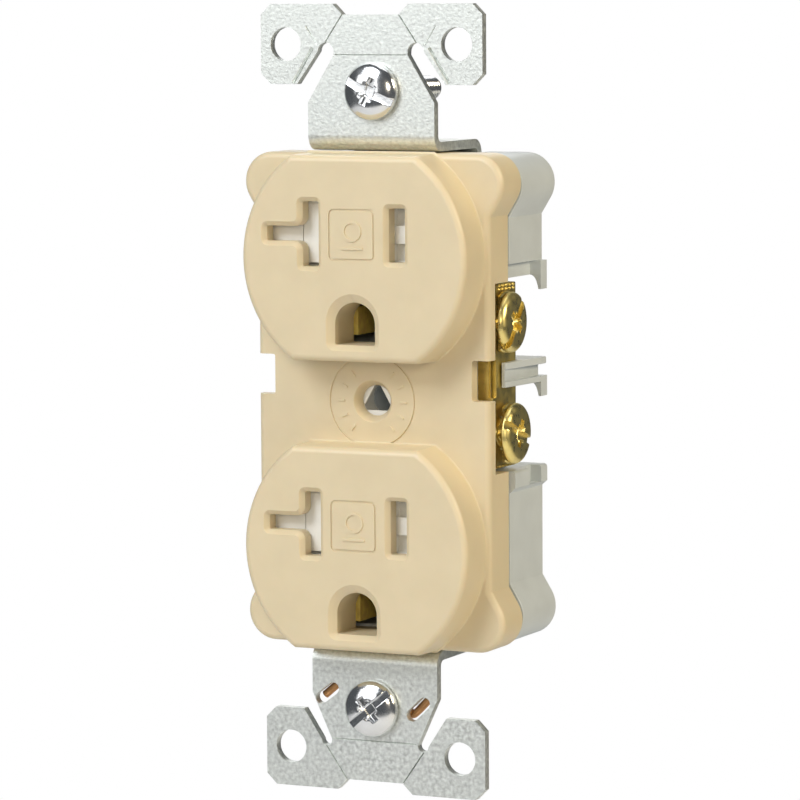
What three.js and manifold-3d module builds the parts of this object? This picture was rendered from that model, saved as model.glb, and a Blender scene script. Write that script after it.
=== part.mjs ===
// Duplex wall outlet, 20 A, 125 V, with shutters behind its slots and a steel strap that wraps round it.
// Frame, in millimetres: X across the outlet, Y into the wall, Z up. The origin is the centre of the
// wall plate's screw hole, in the plane of the strap's front face.

import * as THREE from 'three';
import { mergeVertices } from 'three/addons/utils/BufferGeometryUtils.js';
import Module from 'manifold-3d';

const wasm = await Module();
wasm.setup();

// ---------- driving dimensions ----------

const GAP = 0.25;            // clearance between pieces that touch on the real outlet
const OVERRUN = 1;           // how far a cutter runs past the surface that it opens
const OUTLET_Z = 19.45;      // half the 38.9 mm spacing of the two outlets
const MOUNT_Z = 41.67;       // half the 83.3 mm spacing of the two mounting screws

const BODY = { halfWidth: 17.2, halfHeight: 33.3, edge: 0.8, wall: 1.7 };
const LOBE = { x: 15.15, z: 29.3, radius: 4, startAngle: -0.55 };
const SHRINK = 0.35;         // the base's outline is this much lower than the cover's
const PART_Y = 6.3;          // where the front cover ends and the rear base starts
const BACK_Y = 17.7;          // back of the rear base
const PLATE_Y = 2.4;         // inner side of the cover's flat front
const FLOOR_Y = 11.6;        // inner side of the base's back wall

const FACE = { y: -6.1, radius: 16.5, flat: 13.7, edge: 0.8, inside: -3.7, room: 14.6, roomFlat: 12.1 };
const BLADE = { x: 6.35, z: 3.22 };          // blade slots, from the outlet's centre
const SLOT = { halfWidth: 1.12, hot: 3.45, neutral: 4.28, armEnd: 12.85, armHalf: 1.12, mouth: 0.6 };
const PIN = { z: -8.75, radius: 2.95, flat: 2.75, grip: 2.5 };     // grounding hole
const CENTRE_HOLE = 2.72;

const ZONE = { centre: 3.2, top: 16.1, bottom: -9.4, core: 11.8, coreInside: 10.3, lip: 1.9 };
const NOTCH = { x: 14.6, halfHeight: 2.72 };  // opening over the break-off tab

const STRAP = { t: 1.25, half: 9.33, run: 33.55, back: 15.3, bend: 2.1, tabEnd: 46.35 };
const EAR = { outer: 16.35, top: 53.15, bottom: 42.4, chamfer: 1.45, holeX: 12.62, holeZ: 47.75, hole: 2.27 };

const TERMINAL = { inside: 15.4, t: 0.8, front: 4.5, back: 10.9, y: 6.6 };
const SCREW = { head: 4.1, headHeight: 1.1, shank: 2.08, length: 5, washer: 4.65, washerT: 0.5 };
const GROUND = {
  y: 10.8, z: -21.4, halfWidth: 3, leg: 7.4, head: 3.8, outside: 17.1, length: 5, turn: 20,
};
const CORNER = { x: 15, z: 28.9, shank: 1.2, head: 2.5, seat: 15.7, headHeight: 1.3, length: 13.2 };

const GUIDE = { root: 11.5, web: 16.4, outer: 18, tip: 0.35, front: 15.3, back: 17.4, drop: 1.95 };
const BLOCK = { top: 18.4, webFoot: 16.45, bottom: -12.4, bevel: 0.7, recess: 11.4 };
const BARRIER = {
  up: 2.05, down: 1.3, upperRib: 0.95, lowerRib: 0.8, front: 5.7, bridge: 16.45, skin: 0.4, nose: 17.1,
};
const WING_END = 25;         // end of the base's side pockets
const POCKET_END = 24.5;     // end of the cover's side pockets
const CATCH = { tube: 4.2, back: 4.95, bore: 2.2, grip: 2.1, flat: 11, nose: 2.45, front: 1.6 };
const WELL = { outer: 3.1, inner: 2.6, end: 17.3, cap: 1 };    // blind well for the tip of a grounding pin
const RIVETS = [16.8, -22.1];
const RIVET = { shank: 1.45, head: 2.5, headHeight: 0.7 };
const PLATE_SCREW = 1.45;    // tapped hole for the wall plate's screw
const ARMS = [[13.1, 15.8], [-8.9, -6.2]];   // heights of the arms that lead from terminals to clips
const TAB = { shoulder: 40, notch: 4.15 };
const TOP_TAB = { neck: 5.45, slotX: 6.65, slotRise: 0.45, slotRadius: 1.18, earFoot: 10.95 };
const BOTTOM_TAB = { neck: 6.42, slotX: 7.22, slotRise: 0.05, slotRadius: 0.8, earFoot: 10.65 };
const MOUNT = {
  head: 3.85, headHeight: 1.8, rim: 0.45, crown: 1.5, shank: 1.75, length: 19.1, slide: 1.05, slot: 2.1,
  washer: 4.5,
};
const MOUNT_SCREWS = [
  { name: 'top', x: 0.35, z: 41.5, turn: 65 },
  { name: 'bottom', x: -0.2, z: -MOUNT_Z, turn: -50 },
];
const CLIP = {
  y: 2.1, wire: 0.5, window: 0.85, tension: 0.35,
  windows: [[-8, -40.75, -6.2, -39.4], [5.6, -42.3, 7.4, -40.6]],
  route: [[-8.2, -40.9], [-5.6, -38.95], [-2.4, -38.4], [1.6, -38.7], [3.6, -40.7], [5, -42.8], [7.6, -40.4]],
};

const TERMINALS = [
  { name: 'upper', z: 10.65, lift: 0, turn: -40 },
  { name: 'lower', z: -4.25, lift: 0.55, turn: 68 },
];
const RECESS = { half: 0.55, depth: 0.8, cross: 1.9 };
const HEAD_EDGE = 0.45;
const TAB_OFF = { inner: 14.45, outer: 15.55, front: 3.3, half: 2.6, slot: 5 };    // break-off tab
const LEAF = {
  root: 1, pinch: 0.7, mouth: 1.2, t: 0.6, foot: 10.3, waist: 2.4, tip: 0.9, half: 3.2, rootHalf: 1.75,
};
const FLAT_CLIP = { near: 8.6, far: 13.2, half: 1.6 };
const GROUND_LEAF = { t: 0.8, tip: 0.9, half: 1.9, plate: 3.6, foot: 3 };

const SHUTTER = { front: -3.45, back: -1.6 };
const BLOCKER = {
  half: 1.88, hot: 3.75, neutral: 4.75, barTop: -1.5, barFoot: -3.4, lug: 4.3, lugT: 0.8, lugFoot: -5.5,
};
const ARM = { far: -13.2, near: -8.5, half: 2.2 };
const TRAY = {
  front: -1.35, back: -0.35, radius: 14.2, flat: 11.7, margin: 0.35, pinMargin: 1.15,
  postX: 12.3, postT: 0.75, rail: 9, railZ: 8.4,
};
const SPRING = { outer: 0.9, inner: 0.5 };
const SLIDE_SPRING = { z: -4.6, from: 9.1 };
const ARM_SPRING = { x: -10.9, foot: -6.2 };

// ---------- finishes ----------

function finish(color, roughness, metalness) {
  return new THREE.MeshStandardMaterial({ color, roughness, metalness });
}

const IVORY = finish(0xe2cfa8, 0.42, 0);
const GREY = finish(0xc4c6bf, 0.45, 0);
const WHITE = finish(0xeeece2, 0.5, 0);
const NATURAL = finish(0xe4e0d0, 0.55, 0);
const ZINC = finish(0xb9bdba, 0.35, 0.9);
const STEEL = finish(0xc9ccce, 0.25, 1);
const BRASS = finish(0xc9a548, 0.32, 1);
const GREEN = finish(0x3f7d46, 0.35, 0.7);
const BRONZE = finish(0xb5793f, 0.3, 1);
const FIBRE = finish(0x9a4a35, 0.8, 0);

// ---------- outlines ----------

function polygon(points) {
  return new THREE.Shape(points.map(([u, v]) => new THREE.Vector2(u, v)));
}

function rectangle(u0, v0, u1, v1) {
  return polygon([[u0, v0], [u1, v0], [u1, v1], [u0, v1]]);
}

function disc(u, v, radius) {
  return new THREE.Shape().absarc(u, v, radius, 0, 2 * Math.PI, false);
}

// A circle with a flat at its top and bottom.
function flatDisc(v, radius, flat) {
  const angle = Math.asin(flat / radius);
  const shape = new THREE.Shape();
  shape.absarc(0, v, radius, -angle, angle, false);
  shape.absarc(0, v, radius, Math.PI - angle, Math.PI + angle, false);
  return shape;
}

// The body: straight sides that swell into a round lobe at each corner, lower by a shrink if given.
function bodyOutline(shrink = 0) {
  const lobeStart = LOBE.startAngle;
  const turn = Math.PI;
  const shape = new THREE.Shape();
  const z = LOBE.z - shrink;
  const foot = z + LOBE.radius * Math.sin(lobeStart)
    - (LOBE.x + LOBE.radius * Math.cos(lobeStart) - BODY.halfWidth) * Math.tan(turn / 2 + lobeStart);
  shape.moveTo(BODY.halfWidth, -foot);
  shape.lineTo(BODY.halfWidth, foot);
  shape.absarc(LOBE.x, z, LOBE.radius, lobeStart, turn / 2, false);
  shape.absarc(-LOBE.x, z, LOBE.radius, turn / 2, turn - lobeStart, false);
  shape.lineTo(-BODY.halfWidth, foot);
  shape.lineTo(-BODY.halfWidth, -foot);
  shape.absarc(-LOBE.x, -z, LOBE.radius, turn + lobeStart, 1.5 * turn, false);
  shape.absarc(LOBE.x, -z, LOBE.radius, 1.5 * turn, 2 * turn - lobeStart, false);
  return shape;
}

function hotSlot(zc, margin = 0) {
  const z = zc + BLADE.z;
  const u = SLOT.halfWidth + margin;
  const v = SLOT.hot + margin;
  return rectangle(BLADE.x - u, z - v, BLADE.x + u, z + v);
}

// The neutral slot is a T on its side: a tall slot with an arm that points away from the centre.
function neutralSlot(zc, margin = 0) {
  const z = zc + BLADE.z;
  const right = -BLADE.x + SLOT.halfWidth + margin;
  const left = -BLADE.x - SLOT.halfWidth - margin;
  const end = -SLOT.armEnd - margin;
  const tall = SLOT.neutral + margin;
  const arm = SLOT.armHalf + margin;
  return polygon([
    [right, z - tall], [right, z + tall], [left, z + tall], [left, z + arm],
    [end, z + arm], [end, z - arm], [left, z - arm], [left, z - tall],
  ]);
}

// The grounding hole has a flat foot and a round top.
function pinHole(zc, margin = 0) {
  const radius = PIN.radius + margin;
  const shape = new THREE.Shape();
  shape.moveTo(-radius, zc + PIN.z - PIN.flat - margin);
  shape.lineTo(radius, zc + PIN.z - PIN.flat - margin);
  shape.absarc(0, zc + PIN.z, radius, 0, Math.PI, false);
  return shape;
}

// ---------- solids ----------

function toSolid(geometry) {
  geometry.deleteAttribute('normal');
  geometry.deleteAttribute('uv');
  const merged = mergeVertices(geometry, 1e-4);
  const triVerts = new Uint32Array(merged.index.array);
  const vertProperties = merged.attributes.position.array;
  return new wasm.Manifold(new wasm.Mesh({ numProp: 3, vertProperties, triVerts }));
}

const X = new THREE.Vector3(1, 0, 0);
const Y = new THREE.Vector3(0, 1, 0);
const Z = new THREE.Vector3(0, 0, 1);
const PLANES = {
  x: new THREE.Matrix4().makeBasis(Y, Z, X),                   // outline in (Y, Z), runs along +X
  y: new THREE.Matrix4().makeBasis(X, Z, Y.clone().negate()),  // outline in (X, Z), runs along -Y
  z: new THREE.Matrix4(),                                      // outline in (X, Y), runs along +Z
};

// An outline swept along an axis from one coordinate to another, with its end edges rounded if asked.
function prism(axis, shape, from, to, edge = 0, steps = 8) {
  const geometry = new THREE.ExtrudeGeometry(shape, {
    depth: to - from - 2 * edge,
    curveSegments: steps,
    bevelEnabled: edge > 0,
    bevelThickness: edge,
    bevelSize: edge,
    bevelOffset: -edge,
    bevelSegments: 2,
  });
  const start = axis === 'y' ? -(to - edge) : from + edge;
  geometry.translate(0, 0, start);
  geometry.applyMatrix4(PLANES[axis]);
  return toSolid(geometry);
}

function box(x0, x1, y0, y1, z0, z1) {
  return prism('y', rectangle(x0, z0, x1, z1), y0, y1);
}

// A round bar along X or Y; its centre is given in the other two axes.
function bar(axis, u, v, radius, from, to, steps = 8) {
  return prism(axis, disc(u, v, radius), from, to, 0, steps);
}

function union(pieces) {
  return pieces.reduce((all, piece) => all.add(piece));
}

function cut(solid, tools) {
  return tools.reduce((rest, tool) => rest.subtract(tool), solid);
}

function mirrorX(solid) {
  return solid.mirror([1, 0, 0]);
}

// A cutter for an opening in an outlet's face, with a mouth that widens towards the front.
function mouthCutter(shape) {
  const geometry = new THREE.ExtrudeGeometry(shape, {
    depth: OVERRUN,
    curveSegments: 5,
    bevelThickness: SLOT.mouth,
    bevelSize: SLOT.mouth,
    bevelSegments: 1,
  });
  geometry.translate(0, 0, -FACE.y);
  geometry.applyMatrix4(PLANES.y);
  return toSolid(geometry).add(prism('y', shape, FACE.y - OVERRUN, PART_Y, 0, 5));
}

// ---------- the part ----------

const group = new THREE.Group();

function addPart(name, solid, material) {
  const mesh = solid.getMesh();
  const geometry = new THREE.BufferGeometry();
  geometry.setAttribute('position', new THREE.BufferAttribute(mesh.vertProperties, 3));
  geometry.setIndex(new THREE.BufferAttribute(mesh.triVerts, 1));
  const part = new THREE.Mesh(geometry, material);
  part.name = name;
  group.add(part);
}

const OUTLETS = [{ name: 'upper', z: OUTLET_Z }, { name: 'lower', z: -OUTLET_Z }];
// The two sides. Play is the gap under a terminal's washer and under its head; the neutral screws are
// driven home, and the lower hot one is backed out.
const SIDES = [
  { name: 'hot', sign: 1, play: GAP, slack: 1 },
  { name: 'neutral', sign: -1, play: 0.1, slack: 0 },
];
const ENDS = [1, -1];

function onSide(side, solid) {
  return side.sign > 0 ? solid : mirrorX(solid);
}

// Front cover: two raised outlet faces on a flat front, with side walls that stop at the terminals.
function frontCover() {
  const outline = bodyOutline();
  const shell = prism('y', outline, 0, 2 * BODY.edge + GAP, BODY.edge)
    .add(prism('y', outline, BODY.edge, PART_Y));
  const faces = OUTLETS.map(({ z }) => prism('y', flatDisc(z, FACE.radius, FACE.flat), FACE.y, PLATE_Y,
    FACE.edge, 14));
  const rooms = OUTLETS.map(({ z }) => prism('y', flatDisc(z, FACE.room, FACE.roomFlat), FACE.inside,
    PART_Y + OVERRUN));
  const inX = BODY.halfWidth - BODY.wall;
  const inZ = BODY.halfHeight - BODY.wall;
  const boss = CORNER.x - LOBE.radius;
  const cavity = [
    box(-inX, inX, PLATE_Y, PART_Y + OVERRUN, -POCKET_END, POCKET_END),
    box(-boss, boss, PLATE_Y, PART_Y + OVERRUN, -inZ, inZ),
  ];
  const far = BODY.halfWidth + OVERRUN;
  const zone = SIDES.map((side) => onSide(side, box(ZONE.core, far, ZONE.lip, PART_Y + OVERRUN,
    ZONE.bottom, ZONE.top)));
  const notches = SIDES.map((side) => onSide(side, box(NOTCH.x, far, -OVERRUN, PLATE_Y + OVERRUN,
    ZONE.centre - NOTCH.halfHeight, ZONE.centre + NOTCH.halfHeight)));
  const mouths = OUTLETS.flatMap(({ z }) => [hotSlot(z), neutralSlot(z), pinHole(z)].map(mouthCutter));
  const bores = ENDS.flatMap((x) => ENDS.map((z) => bar('y', x * CORNER.x, z * CORNER.z,
    CORNER.shank + GAP, PLATE_Y - OVERRUN, PART_Y + OVERRUN, 5)));
  const centre = bar('y', 0, 0, CENTRE_HOLE, -OVERRUN, PLATE_Y + OVERRUN);
  const inside = [...rooms, ...cavity, ...bores];
  return cut(union([shell, ...faces]), [...inside, ...zone, ...notches, ...mouths, centre]);
}
addPart('front_cover', frontCover(), IVORY);

// One side of the terminal zone on the base: barrier ribs and wire guides, for the +X side.
// A guide is a plate that faces the wall, with a curved lower edge.
function wireGuide(top, webFoot, foot) {
  const shape = new THREE.Shape();
  shape.moveTo(GUIDE.root, top);
  shape.lineTo(GUIDE.outer, top);
  shape.lineTo(GUIDE.outer, foot);
  shape.lineTo(GUIDE.outer - GUIDE.tip, foot);
  shape.quadraticCurveTo(GUIDE.outer - 2 * GUIDE.tip, webFoot, GUIDE.web, webFoot);
  shape.lineTo(GUIDE.root, webFoot);
  return prism('y', shape, GUIDE.front, GUIDE.back, 0, 4);
}

function barrier() {
  const top = ZONE.centre + BARRIER.up;
  const bottom = ZONE.centre - BARRIER.down;
  const web = BARRIER.bridge + BARRIER.skin;
  const behind = TERMINAL.back + GAP;
  const rib = polygon([
    [BARRIER.bridge, BARRIER.front], [BARRIER.nose, BARRIER.front], [GUIDE.outer, GUIDE.front],
    [GUIDE.outer, GUIDE.back], [BARRIER.bridge, GUIDE.back],
  ]);
  return union([
    box(GUIDE.root, web, behind, GUIDE.back - BARRIER.skin, bottom, top),
    box(BARRIER.bridge, web, BARRIER.front, behind + OVERRUN, bottom, top),
    prism('z', rib, top - BARRIER.upperRib, top),
    prism('z', rib, bottom, bottom + BARRIER.lowerRib),
    wireGuide(bottom + BARRIER.lowerRib, bottom, bottom - GUIDE.drop),
  ]);
}

function sideFrame() {
  const front = PART_Y + GAP;
  const flange = polygon([
    [GUIDE.root, ZONE.bottom], [GUIDE.outer, ZONE.bottom], [GUIDE.outer, BLOCK.bottom + BLOCK.bevel],
    [BODY.halfWidth, BLOCK.bottom], [GUIDE.root, BLOCK.bottom],
  ]);
  const recess = box(GUIDE.web, GUIDE.outer + OVERRUN, BLOCK.recess, GUIDE.front,
    BLOCK.bottom + BLOCK.bevel, ZONE.bottom + OVERRUN);
  return union([
    box(GUIDE.root, GUIDE.web, front, GUIDE.front + OVERRUN, BLOCK.webFoot, BLOCK.top),
    wireGuide(BLOCK.top, BLOCK.webFoot, BLOCK.webFoot - GUIDE.drop),
    barrier(),
    cut(prism('y', flange, front, GUIDE.back), [recess]),
  ]);
}

// Rear base: a tray that carries the contacts, open at the sides where the terminals are.
function rearBase() {
  const front = PART_Y + GAP;
  const inX = BODY.halfWidth - BODY.wall;
  const inZ = BODY.halfHeight - SHRINK - BODY.wall;
  const far = GUIDE.outer + OVERRUN;
  const past = BACK_Y + OVERRUN;
  const channel = STRAP.back - STRAP.t - GAP;
  const groundPad = GROUND.z + GROUND.halfWidth + GAP;
  const zone = ENDS.map((x) => box(Math.min(x * ZONE.core, x * far), Math.max(x * ZONE.core, x * far),
    0, past, BLOCK.bottom, BLOCK.top));
  const collar = box(-ZONE.core, ZONE.core, PLATE_Y + GAP, front + OVERRUN,
    ZONE.bottom + GAP, ZONE.top - GAP);
  const cavity = [
    box(-ZONE.coreInside, ZONE.coreInside, 0, FLOOR_Y, -inZ, inZ),
    box(-inX, inX, 0, FLOOR_Y, BLOCK.top + BODY.wall, WING_END),
    box(-inX, inX, 0, FLOOR_Y, groundPad, BLOCK.bottom - BODY.wall),
    box(0, inX, 0, FLOOR_Y, -WING_END, BLOCK.bottom - BODY.wall),
  ];
  const outline = bodyOutline(SHRINK);
  const bulk = prism('y', outline, front, BACK_Y - BODY.edge)
    .add(prism('y', outline, BACK_Y - 2 * BODY.edge - GAP, BACK_Y, BODY.edge));
  const shell = cut(cut(bulk, zone).add(collar), cavity);
  const frames = SIDES.map((side) => onSide(side, sideFrame()));
  const tube = bar('y', 0, 0, CATCH.tube, CATCH.back + GAP, FLOOR_Y + OVERRUN);
  const groove = [
    box(-STRAP.half - GAP, STRAP.half + GAP, channel, past, -far - BODY.halfHeight, far + BODY.halfHeight),
    box(-far, -STRAP.half, channel, past, GROUND.z - GROUND.halfWidth - GAP, groundPad),
    box(-far, -GROUND.outside + STRAP.t + GAP, GROUND.leg - GAP, past,
      GROUND.z - GROUND.halfWidth - GAP, groundPad),
    bar('x', GROUND.y, GROUND.z, GROUND.head + GAP, -far, -GROUND.outside - GAP),
  ];
  const pinWells = OUTLETS.map(({ z }) => bar('y', 0, z + PIN.z, WELL.outer, FLOOR_Y - GAP, WELL.end));
  const holes = [
    ...OUTLETS.map(({ z }) => bar('y', 0, z + PIN.z, WELL.inner, FLOOR_Y - OVERRUN, WELL.end - WELL.cap)),
    ...RIVETS.map((z) => bar('y', 0, z, RIVET.shank + GAP, FLOOR_Y - OVERRUN, past)),
    bar('y', 0, 0, CATCH.bore, CATCH.back, past),
    bar('x', GROUND.y, GROUND.z, SCREW.shank + GAP, -BODY.halfWidth, -ZONE.coreInside),
    ...ENDS.flatMap((x) => ENDS.flatMap((z) => [
      bar('y', x * CORNER.x, z * CORNER.z, CORNER.shank + GAP, 0, past),
      bar('y', x * CORNER.x, z * CORNER.z, CORNER.head + GAP, CORNER.seat, past),
    ])),
    ...SIDES.flatMap((side) => ARMS.map(([low, high]) => onSide(side, box(ZONE.coreInside - OVERRUN,
      ZONE.core + OVERRUN, 0, TERMINAL.back + GAP, low - GAP, high + GAP)))),
  ];
  return cut(union([cut(union([shell, tube]), groove), ...frames, ...pinWells]), holes);
}
addPart('rear_base', rearBase(), GREY);

// The strap's band: the side view of a strip that runs from the top tab, back over the body, down
// behind it and forward again to the bottom tab.
function bandOutline() {
  const { t, run, back, bend } = STRAP;
  const inner = bend - t;
  const quarter = Math.PI / 2;
  const end = run + bend + OVERRUN;
  const shape = new THREE.Shape();
  shape.moveTo(0, end);
  shape.absarc(bend, run + bend, bend, 2 * quarter, 3 * quarter, false);
  shape.absarc(back - bend, run - inner, inner, quarter, 0, true);
  shape.absarc(back - bend, -run + inner, inner, 0, -quarter, true);
  shape.absarc(bend, -run - bend, bend, quarter, 2 * quarter, false);
  shape.lineTo(0, -end);
  shape.lineTo(t, -end);
  shape.absarc(bend, -run - bend, inner, 2 * quarter, quarter, true);
  shape.absarc(back - bend, -run + inner, bend, -quarter, 0, false);
  shape.absarc(back - bend, run - inner, bend, 0, quarter, false);
  shape.absarc(bend, run + bend, inner, 3 * quarter, 2 * quarter, true);
  shape.lineTo(t, end);
  return shape;
}

// The right half of the tab and ear above the body; a slant slot parts the tab from the ear.
function tabOutline(slot) {
  const { half, run, bend, tabEnd } = STRAP;
  const { outer, top, bottom, chamfer } = EAR;
  const shape = new THREE.Shape();
  shape.moveTo(0, run + bend + GAP);
  shape.lineTo(half, run + bend + GAP);
  shape.lineTo(half, TAB.shoulder);
  shape.lineTo(slot.neck, tabEnd);
  shape.absarc(slot.slotX, tabEnd + slot.slotRise, slot.slotRadius, Math.PI, 0, true);
  shape.lineTo(slot.earFoot, bottom);
  shape.lineTo(outer - chamfer, bottom);
  shape.lineTo(outer, bottom + chamfer);
  shape.lineTo(outer, top - chamfer);
  shape.lineTo(outer - chamfer, top);
  shape.lineTo(TAB.notch + chamfer, top);
  shape.lineTo(TAB.notch, top - chamfer);
  shape.lineTo(0, top - chamfer);
  return shape;
}

// A slot with round ends between two points in the strap's plane.
function obround(x0, z0, x1, z1, radius) {
  const angle = Math.atan2(z1 - z0, x1 - x0);
  const quarter = Math.PI / 2;
  const shape = new THREE.Shape();
  shape.absarc(x1, z1, radius, angle - quarter, angle + quarter, false);
  shape.absarc(x0, z0, radius, angle + quarter, angle + 3 * quarter, false);
  return prism('y', shape, -OVERRUN, STRAP.t + OVERRUN, 0, 4);
}

function mountingStrap() {
  const topHalf = prism('y', tabOutline(TOP_TAB), 0, STRAP.t, 0, 5);
  const bottomHalf = prism('y', tabOutline(BOTTOM_TAB), 0, STRAP.t, 0, 5).mirror([0, 0, 1]);
  const tabs = [topHalf, bottomHalf].flatMap((half) => [half, mirrorX(half)]);
  const inner = STRAP.back - STRAP.t;
  const backHole = (z, radius) => bar('y', 0, z, radius, inner - OVERRUN, STRAP.back + OVERRUN);
  const arm = box(-GROUND.outside, -STRAP.half + OVERRUN, inner, STRAP.back,
    GROUND.z - GROUND.halfWidth, GROUND.z + GROUND.halfWidth);
  const leg = box(-GROUND.outside, -GROUND.outside + STRAP.t, GROUND.leg, STRAP.back,
    GROUND.z - GROUND.halfWidth, GROUND.z + GROUND.halfWidth);
  const holes = [
    ...ENDS.flatMap((x) => ENDS.map((z) => bar('y', x * EAR.holeX, z * EAR.holeZ, EAR.hole, -OVERRUN,
      STRAP.t + OVERRUN))),
    ...ENDS.map((z) => obround(-MOUNT.slide, z * MOUNT_Z, MOUNT.slide, z * MOUNT_Z, MOUNT.slot)),
    ...CLIP.windows.map(([x0, z0, x1, z1]) => obround(x0, z0, x1, z1, CLIP.window)),
    ...OUTLETS.map(({ z }) => backHole(z + PIN.z, WELL.outer + GAP)),
    ...RIVETS.map((z) => backHole(z, RIVET.shank + GAP)),
    backHole(0, PLATE_SCREW),
    bar('x', GROUND.y, GROUND.z, SCREW.shank + GAP, -GROUND.outside - OVERRUN,
      -GROUND.outside + STRAP.t + OVERRUN),
  ];
  const band = prism('x', bandOutline(), -STRAP.half, STRAP.half, 0, 3);
  return cut(union([band, ...tabs, arm, leg]), holes);
}
addPart('mounting_strap', mountingStrap(), ZINC);

// A screw along +X with its head's seat at X = 0. The recess is a slot crossed by a short second one.
function screw(headSolid, head, height, shank, length, turn) {
  const slot = box(height - RECESS.depth, height + OVERRUN, -RECESS.half, RECESS.half, -head, head);
  const cross = box(height - RECESS.depth, height + OVERRUN, -RECESS.cross, RECESS.cross,
    -RECESS.half, RECESS.half);
  const solid = headSolid.add(bar('x', 0, 0, shank, -length, height / 4, 6));
  return cut(solid, [slot, cross]).rotate([turn, 0, 0]);
}

// A low cylindrical head with a rounded edge.
function binderScrew(head, height, shank, length, turn) {
  const blank = prism('x', disc(0, 0, head), -HEAD_EDGE, height, HEAD_EDGE, 8)
    .subtract(box(-OVERRUN, 0, -head, head, -head, head));
  return screw(blank, head, height, shank, length, turn);
}

// A domed head: rings that shrink from the rim to the crown.
function domedScrew({ head, headHeight, rim, crown, shank, length }, turn) {
  const profile = [[0, 0], [head, 0], [head, rim], [(head + crown) / 2, (rim + 3 * headHeight) / 4],
    [crown, headHeight], [0, headHeight]];
  const lathe = new THREE.LatheGeometry(profile.map(([r, x]) => new THREE.Vector2(r, x)), 18);
  lathe.rotateZ(-Math.PI / 2);
  return screw(toSolid(lathe), head, headHeight, shank, length, turn);
}

// Terminals: a brass screw that draws a washer down on the contact's side plate.
function terminalWasher() {
  const sides = box(0, SCREW.washerT, TERMINAL.front - TERMINAL.y, TERMINAL.back - TERMINAL.y - GAP,
    -SCREW.washer, SCREW.washer);
  return bar('x', 0, 0, SCREW.washer, 0, SCREW.washerT).intersect(sides)
    .subtract(bar('x', 0, 0, SCREW.shank + GAP, -OVERRUN, SCREW.washerT + OVERRUN, 6));
}

for (const side of SIDES) {
  for (const { name, z, lift, turn } of TERMINALS) {
    const washerX = TERMINAL.inside + TERMINAL.t + side.play + side.slack * lift;
    const headX = washerX + SCREW.washerT + side.play;
    const washer = terminalWasher().translate([washerX, TERMINAL.y, z]);
    const lineScrew = binderScrew(SCREW.head, SCREW.headHeight, SCREW.shank, SCREW.length, turn)
      .translate([headX, TERMINAL.y, z]);
    const metal = side.sign > 0 ? BRASS : STEEL;
    addPart(`${side.name}_washer_${name}`, onSide(side, washer), metal);
    addPart(`${side.name}_screw_${name}`, onSide(side, lineScrew), metal);
  }
}

// Grounding terminal, on the strap's leg at the lower left.
const groundWasher = bar('x', 0, 0, GROUND.head, 0, SCREW.washerT)
  .subtract(bar('x', 0, 0, SCREW.shank + GAP, -OVERRUN, SCREW.washerT + OVERRUN, 6));
const groundScrew = binderScrew(GROUND.head, SCREW.headHeight, SCREW.shank, GROUND.length, GROUND.turn);
const groundSeat = GROUND.outside + GAP;
addPart('ground_washer', mirrorX(groundWasher.translate([groundSeat, GROUND.y, GROUND.z])), GREEN);
addPart('ground_screw', mirrorX(groundScrew
  .translate([groundSeat + SCREW.washerT + GAP, GROUND.y, GROUND.z])), GREEN);

// A leaf of a blade clip, in the plane across the blade: wide at its root, pinched, then flared.
function leaf(sign) {
  const { root, pinch, mouth, t } = LEAF;
  const points = [
    [root, LEAF.foot], [pinch, LEAF.waist], [mouth, LEAF.tip],
    [mouth + t, LEAF.tip], [pinch + t, LEAF.waist], [root + t, LEAF.foot],
  ];
  return points.map(([away, y]) => [sign * away, y]);
}

function uprightClip(x, z) {
  return union(ENDS.map((sign) => prism('z', polygon(leaf(sign).map(([dx, y]) => [x + dx, y])),
    z - LEAF.half, z + LEAF.half)));
}

function flatClip(x0, x1, z) {
  return union(ENDS.map((sign) => prism('x', polygon(leaf(sign).map(([dz, y]) => [y, z + dz])), x0, x1)));
}

// Line contact, for the +X side: a side plate for two terminals with a break-off tab between them,
// and for each outlet an arm that leads in to a blade clip.
function lineContact() {
  const { inside, t, front, back, y } = TERMINAL;
  const outside = inside + t;
  const [lowEnd] = ARMS[1];
  const [, highEnd] = ARMS[0];
  const screwHoles = TERMINALS.map((terminal) => bar('x', y, terminal.z, SCREW.shank + GAP,
    inside - OVERRUN, outside + OVERRUN, 6));
  const tabTop = ZONE.centre + TAB_OFF.half;
  const tabFoot = ZONE.centre - TAB_OFF.half;
  const tabSlot = box(inside - OVERRUN, outside + OVERRUN, front - OVERRUN, TAB_OFF.slot,
    tabFoot + t, tabTop - t);
  const plate = cut(prism('x', rectangle(front, lowEnd, back, highEnd), inside, outside),
    [...screwHoles, tabSlot]);
  const tab = [
    box(TAB_OFF.inner, TAB_OFF.outer, TAB_OFF.front, TAB_OFF.front + t, tabFoot, tabTop),
    box(inside, outside, TAB_OFF.front, front + GAP, tabTop - t, tabTop),
    box(inside, outside, TAB_OFF.front, front + GAP, tabFoot, tabFoot + t),
  ];
  const clips = OUTLETS.flatMap(({ z }, i) => {
    const line = z + BLADE.z;
    const [armLow, armHigh] = ARMS[i];
    const low = Math.min(line - LEAF.half, armLow);
    const high = Math.max(line + LEAF.half, armHigh);
    return [
      box(BLADE.x - LEAF.rootHalf, BLADE.x + LEAF.rootHalf, back - t, back, low, high),
      box(BLADE.x, outside, back - t, back, armLow, armHigh),
      uprightClip(BLADE.x, line),
    ];
  });
  return union([plate, ...tab, ...clips]);
}

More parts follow.
